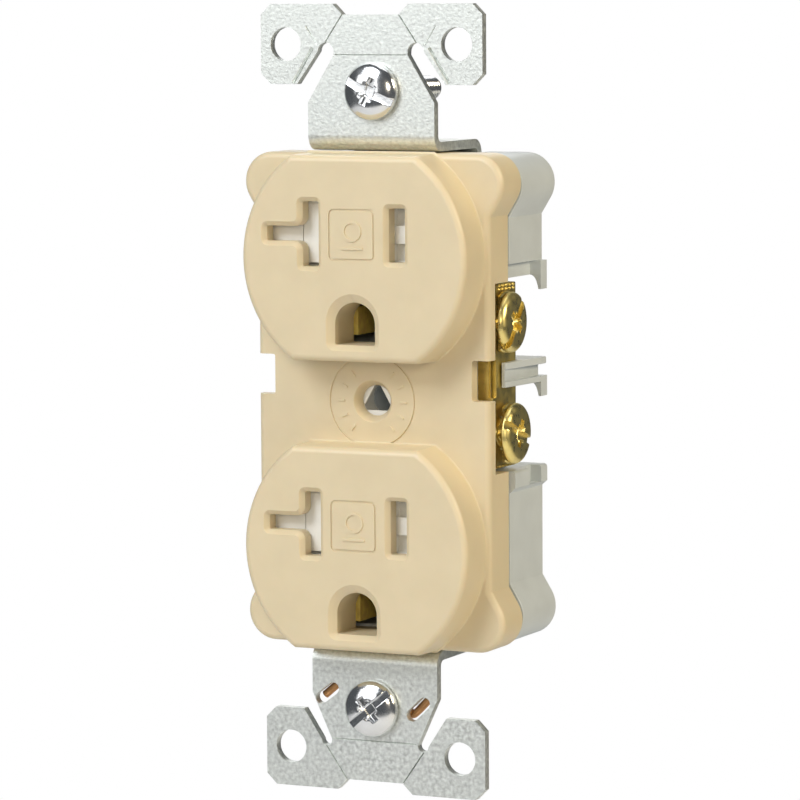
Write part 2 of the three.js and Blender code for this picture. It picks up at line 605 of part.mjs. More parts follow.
// The neutral contact adds a second pair of leaves, for the flat blade of a 20 A plug.
function neutralContact() {
  const arms = OUTLETS.flatMap(({ z }) => {
    const line = z + BLADE.z;
    return [
      box(FLAT_CLIP.near - OVERRUN, FLAT_CLIP.far, TERMINAL.back - TERMINAL.t, TERMINAL.back,
        line - FLAT_CLIP.half, line + FLAT_CLIP.half),
      flatClip(FLAT_CLIP.near, FLAT_CLIP.far, line),
    ];
  });
  return mirrorX(union([lineContact(), ...arms]));
}
addPart('hot_contact', lineContact(), BRASS);
addPart('neutral_contact', neutralContact(), BRASS);

// Grounding contacts: two leaves that grip the pin, riveted to the strap through the base.
OUTLETS.forEach(({ name, z }, i) => {
  const pinZ = z + PIN.z;
  const foot = FLOOR_Y - GAP;
  const leaves = ENDS.map((sign) => prism('z', polygon([
    [sign * PIN.grip, GROUND_LEAF.tip], [sign * (PIN.grip + GROUND_LEAF.t), GROUND_LEAF.tip],
    [sign * (PIN.grip + GROUND_LEAF.t), foot], [sign * PIN.grip, foot],
  ]), pinZ - GROUND_LEAF.half, pinZ + GROUND_LEAF.half));
  const plate = box(-GROUND_LEAF.plate, GROUND_LEAF.plate, foot - GROUND_LEAF.t, foot,
    pinZ - GROUND_LEAF.foot, RIVETS[i] + GROUND_LEAF.half);
  const holes = [
    bar('y', 0, pinZ, PIN.grip, 0, FLOOR_Y),
    bar('y', 0, RIVETS[i], RIVET.shank + GAP, 0, FLOOR_Y, 5),
  ];
  addPart(`ground_contact_${name}`, cut(union([plate, ...leaves]), holes), BRASS);
  const rivet = union([
    bar('y', 0, RIVETS[i], RIVET.shank, foot - 2 * GROUND_LEAF.t - GAP, STRAP.back + 2 * GAP, 5),
    bar('y', 0, RIVETS[i], RIVET.head, foot - 2 * GROUND_LEAF.t - GAP, foot - GROUND_LEAF.t - GAP, 6),
    bar('y', 0, RIVETS[i], RIVET.head, STRAP.back + GAP, STRAP.back + GAP + RIVET.headHeight, 6),
  ]);
  addPart(`ground_rivet_${name}`, rivet, BRASS);
});

// Screw catch: a plastic insert whose three-sided hole grips the wall plate's screw.
const corners = [90, 210, 330].flatMap((degrees) => [degrees - CATCH.flat, degrees + CATCH.flat])
  .map((degrees) => THREE.MathUtils.degToRad(degrees));
const catchHole = polygon(corners.map((a) => [CATCH.grip * Math.cos(a), CATCH.grip * Math.sin(a)]));
addPart('screw_catch', bar('y', 0, 0, CATCH.tube, PLATE_Y + GAP, CATCH.back)
  .add(bar('y', 0, 0, CATCH.nose, CATCH.front, CATCH.back))
  .subtract(prism('y', catchHole, 0, PART_Y)), WHITE);

// Mounting screws, the upper one's retaining washer and the spring clip that earths the lower one.
for (const { name, x, z, turn } of MOUNT_SCREWS) {
  const mountScrew = domedScrew(MOUNT, turn).rotate([0, 0, -90]).translate([x, -GAP, z]);
  addPart(`mounting_screw_${name}`, mountScrew, STEEL);
}
const [upperScrew] = MOUNT_SCREWS;
addPart('retaining_washer', bar('y', upperScrew.x, upperScrew.z, MOUNT.washer, STRAP.t + GAP,
  STRAP.t + GAP + SCREW.washerT)
  .subtract(bar('y', upperScrew.x, upperScrew.z, MOUNT.shank + GAP, 0, STRAP.t + OVERRUN)), FIBRE);

const clipCurve = new THREE.CatmullRomCurve3(
  CLIP.route.map(([x, z]) => new THREE.Vector3(x, CLIP.y, z)), false, 'catmullrom', CLIP.tension);
addPart('grounding_clip', toSolid(new THREE.ExtrudeGeometry(disc(0, 0, CLIP.wire), {
  steps: 20, curveSegments: 4, extrudePath: clipCurve,
})), BRONZE);

// Screws that hold the base to the cover, from behind, one in each lobe.
for (const [x, xName] of [[-1, 'left'], [1, 'right']]) {
  for (const [z, zName] of [[1, 'top'], [-1, 'bottom']]) {
    const bodyScrew = binderScrew(CORNER.head, CORNER.headHeight, CORNER.shank, CORNER.length, 0)
      .rotate([0, 0, 90]).translate([x * CORNER.x, CORNER.seat + GAP, z * CORNER.z]);
    addPart(`body_screw_${zName}_${xName}`, bodyScrew, STEEL);
  }
}

// Shutters: behind each outlet's face a slide covers the two upright slots and an arm shutter covers
// the neutral slot's arm. A plug's blades push the slide aside and the arm shutter down together.
for (const { name, z } of OUTLETS) {
  const line = z + BLADE.z;
  const { front, back } = SHUTTER;
  const slide = union([
    box(-BLADE.x - BLOCKER.half, -BLADE.x + BLOCKER.half, front, back, z + BLOCKER.barTop - GAP,
      line + BLOCKER.neutral),
    box(BLADE.x - BLOCKER.half, BLADE.x + BLOCKER.half, front, back, z + BLOCKER.barTop - GAP,
      line + BLOCKER.hot),
    box(-BLADE.x - BLOCKER.half, BLADE.x + BLOCKER.half, front, back, z + BLOCKER.barFoot,
      z + BLOCKER.barTop),
    box(BLOCKER.lug, BLOCKER.lug + BLOCKER.lugT, front, back, z + BLOCKER.lugFoot, z + BLOCKER.barTop),
  ]);
  addPart(`${name}_shutter_slide`, slide, WHITE);
  const armShutter = box(ARM.far, ARM.near, front, back, line - ARM.half, line + ARM.half);
  addPart(`${name}_arm_shutter`, armShutter, WHITE);
  const tray = prism('y', flatDisc(z, TRAY.radius, TRAY.flat), TRAY.front, TRAY.back);
  const openings = [hotSlot(z, TRAY.margin), neutralSlot(z, TRAY.margin), pinHole(z, TRAY.pinMargin)]
    .map((shape) => prism('y', shape, TRAY.front - OVERRUN, TRAY.back + OVERRUN, 0, 5));
  const posts = [
    box(TRAY.postX, TRAY.postX + BLOCKER.lugT, front, TRAY.front + GAP, z + BLOCKER.lugFoot,
      z + BLOCKER.barFoot),
    box(ARM_SPRING.x - SPRING.outer, ARM_SPRING.x + SPRING.outer, front, TRAY.front + GAP,
      z + ARM_SPRING.foot - TRAY.postT, z + ARM_SPRING.foot - GAP),
    box(-TRAY.rail, TRAY.rail, front, TRAY.front + GAP, z + TRAY.railZ, z + TRAY.railZ + TRAY.postT),
  ];
  addPart(`${name}_shutter_tray`, cut(union([tray, ...posts]), openings), NATURAL);
  const springY = (front + back) / 2;
  const springZ = z + SLIDE_SPRING.z;
  const slideSpring = bar('x', springY, springZ, SPRING.outer, SLIDE_SPRING.from, TRAY.postX - GAP, 5)
    .subtract(bar('x', springY, springZ, SPRING.inner, 0, TRAY.postX, 5));
  addPart(`${name}_slide_spring`, slideSpring, STEEL);
  const springFoot = z + ARM_SPRING.foot;
  const armSpring = bar('z', ARM_SPRING.x, springY, SPRING.outer, springFoot, line - ARM.half - GAP, 5)
    .subtract(bar('z', ARM_SPRING.x, springY, SPRING.inner, springFoot - OVERRUN, line, 5));
  addPart(`${name}_arm_spring`, armSpring, STEEL);
}

export default group;
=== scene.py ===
"""A duplex wall outlet: moulded shells, stamped strap, threaded screws and coil springs round the CAD frame.

Shapes are worked out in millimetres, in the outlet's own axes: X across, Y into the wall, Z up.
"""

from math import acos, asin, ceil, cos, pi, radians, sin, tan
from types import SimpleNamespace as Sizes

import bmesh
import bpy
from mathutils import Matrix, Vector


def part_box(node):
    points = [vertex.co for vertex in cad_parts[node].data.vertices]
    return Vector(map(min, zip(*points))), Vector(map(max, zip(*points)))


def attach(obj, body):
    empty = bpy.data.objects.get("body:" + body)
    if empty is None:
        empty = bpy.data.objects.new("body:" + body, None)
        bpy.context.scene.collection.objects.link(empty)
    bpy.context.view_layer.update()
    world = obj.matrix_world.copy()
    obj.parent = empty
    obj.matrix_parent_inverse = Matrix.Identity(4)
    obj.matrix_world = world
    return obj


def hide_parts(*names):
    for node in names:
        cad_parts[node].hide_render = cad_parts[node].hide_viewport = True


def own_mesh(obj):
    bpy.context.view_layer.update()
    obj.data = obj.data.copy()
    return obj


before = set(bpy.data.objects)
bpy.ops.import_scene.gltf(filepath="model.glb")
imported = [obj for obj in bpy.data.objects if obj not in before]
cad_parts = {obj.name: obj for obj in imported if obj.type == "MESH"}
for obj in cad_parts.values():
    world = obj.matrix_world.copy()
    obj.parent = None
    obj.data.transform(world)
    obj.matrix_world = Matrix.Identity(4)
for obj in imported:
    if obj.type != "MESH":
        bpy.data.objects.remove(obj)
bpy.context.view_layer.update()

MM = 0.001                   # metres in a millimetre

# Degrees and metres, with the lens in millimetres. The aim is a little beside the origin.
CAMERA = Sizes(azimuth=25.657, elevation=5.618, roll=-0.374, distance=0.5768, lens=193.4,
               aim_right=0.00368, aim_up=0.00017)

# ----- sizes, in millimetres -----

GAP = 0.25                   # clearance between neighbouring pieces
OVERRUN = 1.0                # how far a cutter runs past the surface that it opens
CLEAR = 60                   # a cutter's reach when it clears the whole outlet
OUTLETS = {"upper": 19.45, "lower": -19.45}
OUTLET_Z = tuple(OUTLETS.values())
SIDES = (1, -1)

BODY = Sizes(half_width=17.2, half_height=33.3, edge=0.9, wall=1.7)
LOBE = Sizes(x=15.15, z=29.3, radius=4.0, start=-0.55)
BASE_SHRINK = 0.35           # the base's outline is this much lower than the cover's
PART_Y = 6.3                 # where the front cover ends and the base starts
BACK_Y = 17.7
PLATE_Y = 2.4
FLOOR_Y = 11.6

FACE = Sizes(y=-6.1, radius=16.5, flat=13.7, edge=0.9, inside=-3.7, room=14.6, room_flat=12.1)
# insets and places along Y of a face's side, below its rounded edge
FACE_FOOT = ((-0.1, -0.3), (-0.14, -0.15), (-0.24, -0.04), (-0.4, 0.03), (0, 0.3), (0, PLATE_Y))
BLADE = Sizes(x=6.35, z=3.22)
SLOT = Sizes(half_width=1.18, hot=3.6, neutral=4.35, arm_end=12.85, arm_half=1.02, mouth=0.73,
             corner=0.22, crook=1.15)
PIN = Sizes(z=-8.75, radius=2.95, flat=2.75, corner=0.25, mouth=0.98, lift=0.2, sleeve=0.4, sleeve_t=0.7)
CENTRE_HOLE = Sizes(mouth=2.72, throat=2.05, chamfer=0.15)
CENTRE_LINE = Sizes(radius=6.25, top=0.17, bottom=0.09, depth=0.18)
FRAME_MARK = Sizes(foot=-0.12, head=6.5, half=3.25, corner=0.6, line=0.17, depth=0.16)
RING_MARK = Sizes(z=3.7, inner=1.05, outer=1.4, bar_half=1.6, bar_foot=-2.45, bar_head=-2.1)
TICK = Sizes(count=14, start=4.1, end=5.1, half=0.15)
RAISED = Sizes(face=0.16, plate=0.14, root=0.4)

ZONE = Sizes(centre=3.2, top=16.1, bottom=-9.4, core=11.8, core_inside=10.3, lip=1.9)
NOTCH = Sizes(x=14.6, half_height=2.72)
GUIDE = Sizes(root=11.5, web=16.4, outer=18.0, tip=0.35, front=15.3, back=17.4, drop=1.95)
BLOCK = Sizes(top=18.4, web_foot=16.45, bottom=-12.4, bevel=0.7, recess=11.4)
BARRIER = Sizes(up=2.05, down=1.3, upper_rib=0.95, lower_rib=0.8, front=5.7, bridge=16.45, skin=0.4,
                nose=17.1)
WING_END = 25.0
POCKET_END = 24.5
CORNER = Sizes(x=15.0, z=28.9, shank=1.2, head=2.5, height=1.3, length=13.2, seat=15.7)
CATCH = Sizes(tube=4.2, back=4.95, bore=2.2, grip=2.1, flat=11, nose=2.5, front=1.6, edge=0.15, wall=0.3,
              skin=0.35)
WELL = Sizes(outer=3.1, inner=2.6, end=17.3, cap=1.0, edge=0.3)
RIVETS = {"upper": 16.8, "lower": -22.1}
RIVET = Sizes(shank=1.45, head=2.5, height=0.7)

STRAP = Sizes(t=1.25, half=9.33, run=33.55, back=15.3, bend=2.1, tab_end=46.35, hole=1.45)
EAR = Sizes(outer=16.35, top=53.15, bottom=42.4, chamfer=1.45, hole_x=12.62, hole_z=47.75, hole=2.27)
# x and z of a scored line's ends, its half width and its depth
EAR_SCORES = ((7.9, 47.6, 9.6, 50.2, 0.16, 0.2), (8.6, 47.3, 11.5, 42.6, 0.5, 0.42))
EAR_BREAK = Sizes(width=0.18, depth=0.34, end=1.4)
TAB = Sizes(shoulder=40.0, notch=4.15, lap=0.5)
TOP_TAB = Sizes(neck=5.45, slot_x=6.65, rise=0.45, radius=1.18, foot=10.95, score=46.35)
BOTTOM_TAB = Sizes(neck=6.42, slot_x=7.22, rise=0.05, radius=0.8, foot=10.65, score=46.2)
MOUNT = Sizes(head=3.85, rim=0.45, height=1.8, shank=1.75, length=19.1, slide=1.05, slot=2.1, z=41.67)
MOUNTED = {"top": Sizes(x=0.35, z=41.5, turn=65), "bottom": Sizes(x=-0.2, z=-MOUNT.z, turn=-50)}
RETAINER = Sizes(inner=1.85, outer=4.5)
WINDOWS = ((-8, -40.75, -6.2, -39.4), (5.6, -42.3, 7.4, -40.6))
WINDOW_RADIUS = 0.85
# (x, z) of points that the wire runs through
CLIP_ROUTE = ((-8.4, -40.66), (-5.85, -38.7), (-2.4, -38.2), (1.6, -38.5), (3.6, -40.5), (4.76, -42.55),
              (7.36, -40.15))
CLIP = Sizes(y=2.1, wire=0.55, tension=0.35)

TERMINAL = Sizes(inside=15.4, t=0.8, front=4.5, back=10.9, y=6.6)
TERMINALS = {
    "upper": Sizes(z=10.65, turn=-40, teeth=(4.4, 4.87)),
    "lower": Sizes(z=-4.25, turn=68, teeth=(-4.4,)),
}
TOOTH = Sizes(foot=0.24, tip=0.08, height=0.24, pitch=1.15)
SCREW = Sizes(head=4.1, height=1.1, shank=2.08, length=5.0)
WASHER = Sizes(radius=4.12, t=0.5, dish=0.16)
GROUND = Sizes(y=10.8, z=-21.4, half_width=3.0, leg=7.4, head=3.8, outside=17.1, length=5.0, turn=20)
PITCH = 0.794                # of every machine screw on the outlet
THREAD = Sizes(binder=0.42, mount=0.38, root=0.3)  # two depths, and how far a shank enters its head
TURNED_TIP = 0.3             # radius of the flat at each end of a turned head's profile
ARMS = {"upper": (13.1, 15.8), "lower": (-8.9, -6.2)}
TAB_OFF = Sizes(inner=14.05, outer=15.55, front=3.3, half=3.35)
LEAF = Sizes(root=1.0, pinch=0.7, mouth=1.2, t=0.6, foot=10.3, waist=2.4, tip=0.9, half=3.2, root_half=1.75)
FLAT_CLIP = Sizes(near=8.6, far=13.2, half=1.6)

SHUTTER = Sizes(front=-3.45, back=-1.6)
BLOCKER = Sizes(half=1.88, hot=3.75, neutral=4.75, wider=0.17, bar_top=-1.5, bar_foot=-3.4, lug=4.3,
                lug_t=0.8, lug_foot=-5.5)
RAMP = Sizes(inner=1.4, near=1.2, far=3.5, shallow=0.35, deep=1.1)
NOOK = Sizes(inner=1.5, top=-3.95, foot=-4.4, depth=1.5)
SPRING = Sizes(outer=0.9, wire=0.2)
SLIDE_SPRING = Sizes(z=-4.6, post=12.05)
ARM_SPRING_X = -10.9


# ----- outlines: functions of an inset that give a counter-clockwise loop of points -----

def fillet(corners, steps=5):
    """A polygon of (u, v, radius) corners, with each corner that has a radius rounded."""
    def points(inset=0.0):
        loop = []
        for i, (u, v, radius) in enumerate(corners):
            here = Vector((u, v))
            before = (here - Vector(corners[i - 1][:2])).normalized()
            after = (Vector(corners[(i + 1) % len(corners)][:2]) - here).normalized()
            n0, n1 = Vector((-before.y, before.x)), Vector((-after.y, after.x))
            mitre = (n0 + n1) / (1 + n0.dot(n1))
            corner = here + mitre * inset
            if radius == 0:
                loop.append(tuple(corner))
                continue
            side = 1 if before.cross(after) > 0 else -1
            r = max(radius - side * inset, 0.02)
            turn = acos(max(-1, min(1, before.dot(after))))
            centre = corner + mitre * r * side
            spoke = corner - before * r * tan(turn / 2) - centre
            for k in range(steps + 1):
                loop.append(tuple(centre + Matrix.Rotation(side * turn * k / steps, 2) @ spoke))
        return loop
    return points


def rectangle(u0, v0, u1, v1, radius=0.0, steps=4):
    return fillet([(u0, v0, radius), (u1, v0, radius), (u1, v1, radius), (u0, v1, radius)], steps)


def circle(u, v, radius, steps=32):
    def points(inset=0.0):
        spokes = [2 * pi * k / steps for k in range(steps)]
        return [(u + (radius - inset) * cos(a), v + (radius - inset) * sin(a)) for a in spokes]
    return points


def arc(u, v, radius, start, end, steps):
    angles = [start + (end - start) * k / steps for k in range(steps + 1)]
    return [(u + radius * cos(a), v + radius * sin(a)) for a in angles]


def flat_disc(v, radius, flat, steps=32):
    """A circle with a flat at its top and bottom."""
    def points(inset=0.0):
        angle = asin((flat - inset) / (radius - inset))
        right = arc(0, v, radius - inset, -angle, angle, steps)
        return right + arc(0, v, radius - inset, pi - angle, pi + angle, steps)
    return points


def body_outline(shrink=0.0, steps=14):
    """Straight sides that swell into a round lobe at each corner."""
    def points(inset=0.0):
        width, radius, start = BODY.half_width - inset, LOBE.radius - inset, LOBE.start
        x, z = LOBE.x, LOBE.z - shrink
        foot = z + radius * sin(start) - (x + radius * cos(start) - width) * tan(pi / 2 + start)
        right = [(width, foot)] + arc(x, z, radius, start, pi / 2, steps)
        top = right + [(-u, v) for u, v in reversed(right)]
        return top + [(-u, -v) for u, v in top]
    return points


def hot_slot(z):
    u, v, line = SLOT.half_width, SLOT.hot, z + BLADE.z
    return rectangle(BLADE.x - u, line - v, BLADE.x + u, line + v, SLOT.corner)


def neutral_slot(z):
    """A T on its side: a tall slot with an arm that points away from the centre."""
    line = z + BLADE.z
    right, left = -BLADE.x + SLOT.half_width, -BLADE.x - SLOT.half_width
    tall, arm, end = SLOT.neutral, SLOT.arm_half, -SLOT.arm_end
    small, crook = SLOT.corner, SLOT.crook
    return fillet([
        (right, line + tall, small), (left, line + tall, small), (left, line + arm, crook),
        (end, line + arm, small), (end, line - arm, small), (left, line - arm, crook),
        (left, line - tall, small), (right, line - tall, small),
    ])


def pin_hole(z):
    """A D that lies on its flat side."""
    radius, corner, foot = PIN.radius, PIN.corner, z + PIN.z - PIN.flat
    crown = z + PIN.z + radius
    round_top = radius - 0.01
    return fillet([(-radius, foot, corner), (radius, foot, corner), (radius, crown, round_top),
                   (-radius, crown, round_top)], 12)


# ----- solids -----

PLACE = {
    "x": lambda u, v, w: (w, u, v),
    "y": lambda u, v, w: (u, w, v),
    "z": lambda u, v, w: (u, v, w),
}


def into_scene(name, data):
    obj = bpy.data.objects.new(name, data)
    bpy.context.scene.collection.objects.link(obj)
    return obj


def solid(verts, faces):
    """A closed mesh object, with its faces turned outwards."""
    work = bmesh.new()
    points = [work.verts.new(v) for v in verts]
    for face in faces:
        work.faces.new([points[i] for i in face])
    bmesh.ops.recalc_face_normals(work, faces=work.faces)
    mesh = bpy.data.meshes.new("solid")
    work.to_mesh(mesh)
    work.free()
    return into_scene("solid", mesh)


def skin(loops, ring=False):
    """A solid through loops of equal length, which closes on its first loop or is capped at both ends."""
    count, last = len(loops[0]), len(loops)
    faces = []
    for r in range(last if ring else last - 1):
        here, there = r * count, (r + 1) % last * count
        for i in range(count):
            j = (i + 1) % count
            faces.append((here + i, here + j, there + j, there + i))
    if not ring:
        faces.append(tuple(range(count)))
        faces.append(tuple(range((last - 1) * count, last * count)))
    return solid([point for loop in loops for point in loop], faces)


def loft(axis, rings, ring=False):
    """A solid through flat loops, each given with its place along the axis."""
    return skin([[PLACE[axis](u, v, w) for u, v in loop] for loop, w in rings], ring)


def arc_steps(steps):
    """The angles of a quarter turn's steps, with both ends."""
    return [pi / 2 * k / steps for k in range(steps + 1)]


def rounding(edge, steps):
    """Insets and depths along a quarter round, from its flat end."""
    if not edge:
        return [(0, 0)]
    return [(edge * (1 - sin(a)), edge * (1 - cos(a))) for a in arc_steps(steps)]


def prism(axis, shape, start, end, first=0.0, second=0.0, steps=4):
    """An outline swept along an axis, with the edges of its two ends rounded by a radius each."""
    rings = [(shape(inset), start + depth) for inset, depth in rounding(first, steps)]
    tail = [(shape(inset), end - depth) for inset, depth in rounding(second, steps)]
    return loft(axis, rings + tail[::-1])


def box(x0, x1, y0, y1, z0, z1, edge=0.0):
    return prism("y", rectangle(x0, z0, x1, z1, edge, 3), y0, y1, edge, edge, 3)


def bar(axis, u, v, radius, start, end, steps=32):
    return prism(axis, circle(u, v, radius, steps), start, end)


def spin(axis, u, v, profile, ring=False, steps=48):
    """A turned solid: its profile lists (radius, place along the axis)."""
    return loft(axis, [(circle(u, v, radius, steps)(), w) for radius, w in profile], ring)


def bake(obj):
    """Applies an object's modifiers."""
    shaped = obj.evaluated_get(bpy.context.evaluated_depsgraph_get())
    mesh = bpy.data.meshes.new_from_object(shaped)
    old = obj.data
    obj.modifiers.clear()
    obj.data = mesh
    bpy.data.meshes.remove(old)
    return obj


def combine(body, tools, operation):
    for tool in tools:
        step = body.modifiers.new(operation, "BOOLEAN")
        step.operation = operation
        step.solver = "MANIFOLD"
        step.object = tool
    bake(body)
    for tool in tools:
        mesh = tool.data
        bpy.data.objects.remove(tool)
        bpy.data.meshes.remove(mesh)
    return body


def join(body, *tools):
    return combine(body, tools, "UNION")


def cut(body, *tools):
    return combine(body, tools, "DIFFERENCE")


def moved(obj, matrix):
    obj.data.transform(matrix)
    if matrix.determinant() < 0:
        obj.data.flip_normals()
    return obj


def mirror(obj, axis=0):
    """The object's reflection through the origin's plane across an axis."""
    scale = [1, 1, 1, 1]
    scale[axis] = -1
    return moved(obj, Matrix.Diagonal(scale))


def on_side(side, obj):
    return obj if side > 0 else mirror(obj)


def threaded(radius, depth, start, end, steps=30, per_pitch=6, flank=1.25):
    """A shank along X with a helical thread of the given depth, which fades out at both ends."""
    rows = ceil((end - start) / PITCH * per_pitch)
    rings = []
    for row in range(rows + 1):
        x = start + (end - start) * row / rows
        fade = min(1, (x - start) / PITCH, (end - x) / PITCH)
        loop = []
        for k in range(steps):
            turn = (x / PITCH - k / steps) % 1
            ridge = 1 - abs(2 * turn - 1)
            r = radius - depth * (1 - min(1, flank * ridge) * fade)
            loop.append((r * cos(2 * pi * k / steps), r * sin(2 * pi * k / steps)))
        rings.append((loop, x))
    return loft("x", rings)


def tube(points, radius, sides=10):
    """A round wire along a line of points, with flat ends."""
    points = [Vector(p) for p in points]
    rings = []
    normal = None
    for i, point in enumerate(points):
        ahead = (points[min(i + 1, len(points) - 1)] - points[max(i - 1, 0)]).normalized()
        if normal is None:
            normal = ahead.orthogonal().normalized()
        normal = (normal - ahead * normal.dot(ahead)).normalized()
        across = ahead.cross(normal)
        spokes = [2 * pi * k / sides for k in range(sides)]
        rings.append([tuple(point + normal * radius * cos(a) + across * radius * sin(a)) for a in spokes])
    return skin(rings)


# ----- materials -----

def set_inputs(node, **values):
    """Sets a node's unlinked inputs, and gives the node back."""
    for socket, value in values.items():
        node.inputs[socket.replace("_", " ")].default_value = value
    return node


def shade(name, base, rough, metallic=0.0, grain=600.0, tint=0.06, rough_spread=0.06, bump=0.02, **fixed):
    """A material whose colour, roughness and fine relief vary with noise in the object's own space."""
    material = bpy.data.materials.new(name)
    material.use_nodes = True
    nodes, links = material.node_tree.nodes, material.node_tree.links
    shader = set_inputs(nodes["Principled BSDF"], Metallic=metallic, **fixed)
    place = nodes.new("ShaderNodeTexCoord")
    cloud = set_inputs(nodes.new("ShaderNodeTexNoise"), Scale=grain, Detail=5)
    links.new(place.outputs["Object"], cloud.inputs["Vector"])
    ramp = nodes.new("ShaderNodeValToRGB")
    ramp.color_ramp.elements[0].position = 0.32
    ramp.color_ramp.elements[0].color = (*[c * (1 - tint) for c in base], 1)
    ramp.color_ramp.elements[1].position = 0.68
    ramp.color_ramp.elements[1].color = (*[min(1, c * (1 + tint)) for c in base], 1)
    links.new(cloud.outputs["Fac"], ramp.inputs["Fac"])
    links.new(ramp.outputs["Color"], shader.inputs["Base Color"])
    spread = set_inputs(nodes.new("ShaderNodeMapRange"), From_Min=0.3, From_Max=0.7,
                        To_Min=max(0, rough - rough_spread), To_Max=rough + rough_spread)
    links.new(cloud.outputs["Fac"], spread.inputs["Value"])
    links.new(spread.outputs["Result"], shader.inputs["Roughness"])
    pits = set_inputs(nodes.new("ShaderNodeTexNoise"), Scale=2500, Detail=3)
    links.new(place.outputs["Object"], pits.inputs["Vector"])
    relief = set_inputs(nodes.new("ShaderNodeBump"), Strength=bump, Distance=0.0002)
    links.new(pits.outputs["Fac"], relief.inputs["Height"])
    links.new(relief.outputs["Normal"], shader.inputs["Normal"])
    return material


IVORY = shade("ivory_nylon", (0.715, 0.605, 0.405), 0.4, tint=0.02, grain=260, bump=0.05,
              Subsurface_Weight=0.12, Subsurface_Scale=0.0012, Subsurface_Radius=(1.0, 0.4, 0.2))
GREY = shade("grey_nylon", (0.60, 0.645, 0.665), 0.45, tint=0.03, grain=300, bump=0.06)
WHITE = shade("white_nylon", (0.86, 0.85, 0.80), 0.4, tint=0.02)
NATURAL = shade("natural_nylon", (0.74, 0.70, 0.58), 0.45, tint=0.03)
ZINC = shade("zinc_coat", (0.79, 0.82, 0.79), 0.42, 0.85, grain=1900, tint=0.13, rough_spread=0.1, bump=0.2)
BRASS = shade("turned_brass", (0.92, 0.75, 0.29), 0.32, 1.0, grain=900, tint=0.1, rough_spread=0.1, bump=0.08)
CONTACT = shade("sheet_brass", (0.82, 0.65, 0.22), 0.38, 1.0, grain=700, tint=0.16, rough_spread=0.1,
                bump=0.1)
GROUND_BRASS = shade("dull_brass", (0.95, 0.72, 0.20), 0.45, 0.35, grain=900, tint=0.15, bump=0.1)
NICKEL = shade("nickel_plate", (0.70, 0.70, 0.68), 0.24, 1.0, tint=0.06)
GREEN = shade("green_plate", (0.06, 0.26, 0.09), 0.3, 0.75, tint=0.12)
STEEL = shade("bright_zinc", (0.80, 0.81, 0.82), 0.16, 1.0, tint=0.04, rough_spread=0.05)
WIRE = shade("spring_wire", (0.62, 0.63, 0.64), 0.28, 1.0, tint=0.06)
BRONZE = shade("bronze_wire", (0.52, 0.27, 0.12), 0.36, 1.0, tint=0.12)
FIBRE = shade("red_fibre", (0.36, 0.10, 0.05), 0.8, tint=0.2, grain=900, bump=0.3)


# ----- finishing a piece -----

def finish(obj, name, body, slot, material, *nodes, bevel=0.0, sharp=32, place=Matrix.Identity(4)):
    """Names a piece, sizes it in metres, softens its edges, ties it to its body and hides the CAD nodes that
    it stands for.
    """
    obj.name = obj.data.name = name
    work = bmesh.new()
    work.from_mesh(obj.data)
    bmesh.ops.remove_doubles(work, verts=work.verts, dist=1e-4)
    bmesh.ops.dissolve_degenerate(work, edges=work.edges, dist=1e-4)
    bmesh.ops.dissolve_limit(work, angle_limit=radians(0.6), verts=work.verts, edges=work.edges)
    work.to_mesh(obj.data)
    work.free()
    obj.data.transform(Matrix.Scale(MM, 4))
    if bevel:
        step = obj.modifiers.new("edges", "BEVEL")
        step.width = bevel * MM
        step.segments = 2
        step.limit_method = "ANGLE"
        step.angle_limit = radians(35)
        step.use_clamp_overlap = True
        bake(obj)
    obj.data.shade_smooth()
    obj.data.set_sharp_from_angle(angle=radians(sharp))
    normals = obj.modifiers.new("normals", "WEIGHTED_NORMAL")
    normals.keep_sharp = True
    bake(obj)
    obj.data.materials.clear()
    obj.data.materials.append(material)
    obj.matrix_world = place
    if nodes:
        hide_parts(*nodes)
    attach(obj, body)
    return obj


# ----- front cover -----

def face_boss(z):
    """An outlet's raised face: a rounded front edge, a little draft and a small fillet at its foot."""
    shape = flat_disc(z, FACE.radius, FACE.flat, 44)
    edge = [(inset, FACE.y + depth) for inset, depth in rounding(FACE.edge, 6)]
    return loft("y", [(shape(inset), y) for inset, y in (*edge, *FACE_FOOT)])


def mouth(shape, wide=SLOT.mouth, lift=0.0, end=FACE.inside + OVERRUN):
    """A cutter for an opening in a face. Its chamfered mouth widens towards the front, and rises by lift."""
    front, slope = FACE.y, 0.85
    lead = 1 + OVERRUN / slope
    rings = []
    for opened, y in ((lead, front - OVERRUN), (0, front + wide * slope), (0, end)):
        rings.append(([(u, v + lift * opened) for u, v in shape(-wide * opened)], y))
    return loft("y", rings)


def frame_mark(z):
    """Cutter for the square line engraved between the blade slots."""
    half, line, depth = FRAME_MARK.half, FRAME_MARK.line, FRAME_MARK.depth
    shape = rectangle(-half, z + FRAME_MARK.foot, half, z + FRAME_MARK.head, FRAME_MARK.corner, 6)
    outer = loft("y", [(shape(-line), FACE.y - OVERRUN), (shape(-line), FACE.y + depth)])
    inner = loft("y", [(shape(line), FACE.y - 2 * OVERRUN), (shape(line), FACE.y + OVERRUN)])
    return cut(outer, inner)


def raised_mark(z):
    """A plain ring over a bar, standing a little proud inside the square."""
    middle, proud, deep = z + RING_MARK.z, FACE.y - RAISED.face, FACE.y + RAISED.root
    inner, outer, half = RING_MARK.inner, RING_MARK.outer, RING_MARK.bar_half
    low, high = middle + RING_MARK.bar_foot, middle + RING_MARK.bar_head
    ring = [(inner, deep), (inner, proud), (outer, proud), (outer, deep)]
    return [
        spin("y", 0, middle, ring, ring=True, steps=40),
        prism("y", rectangle(-half, low, half, high, 0.12), proud, deep),
    ]


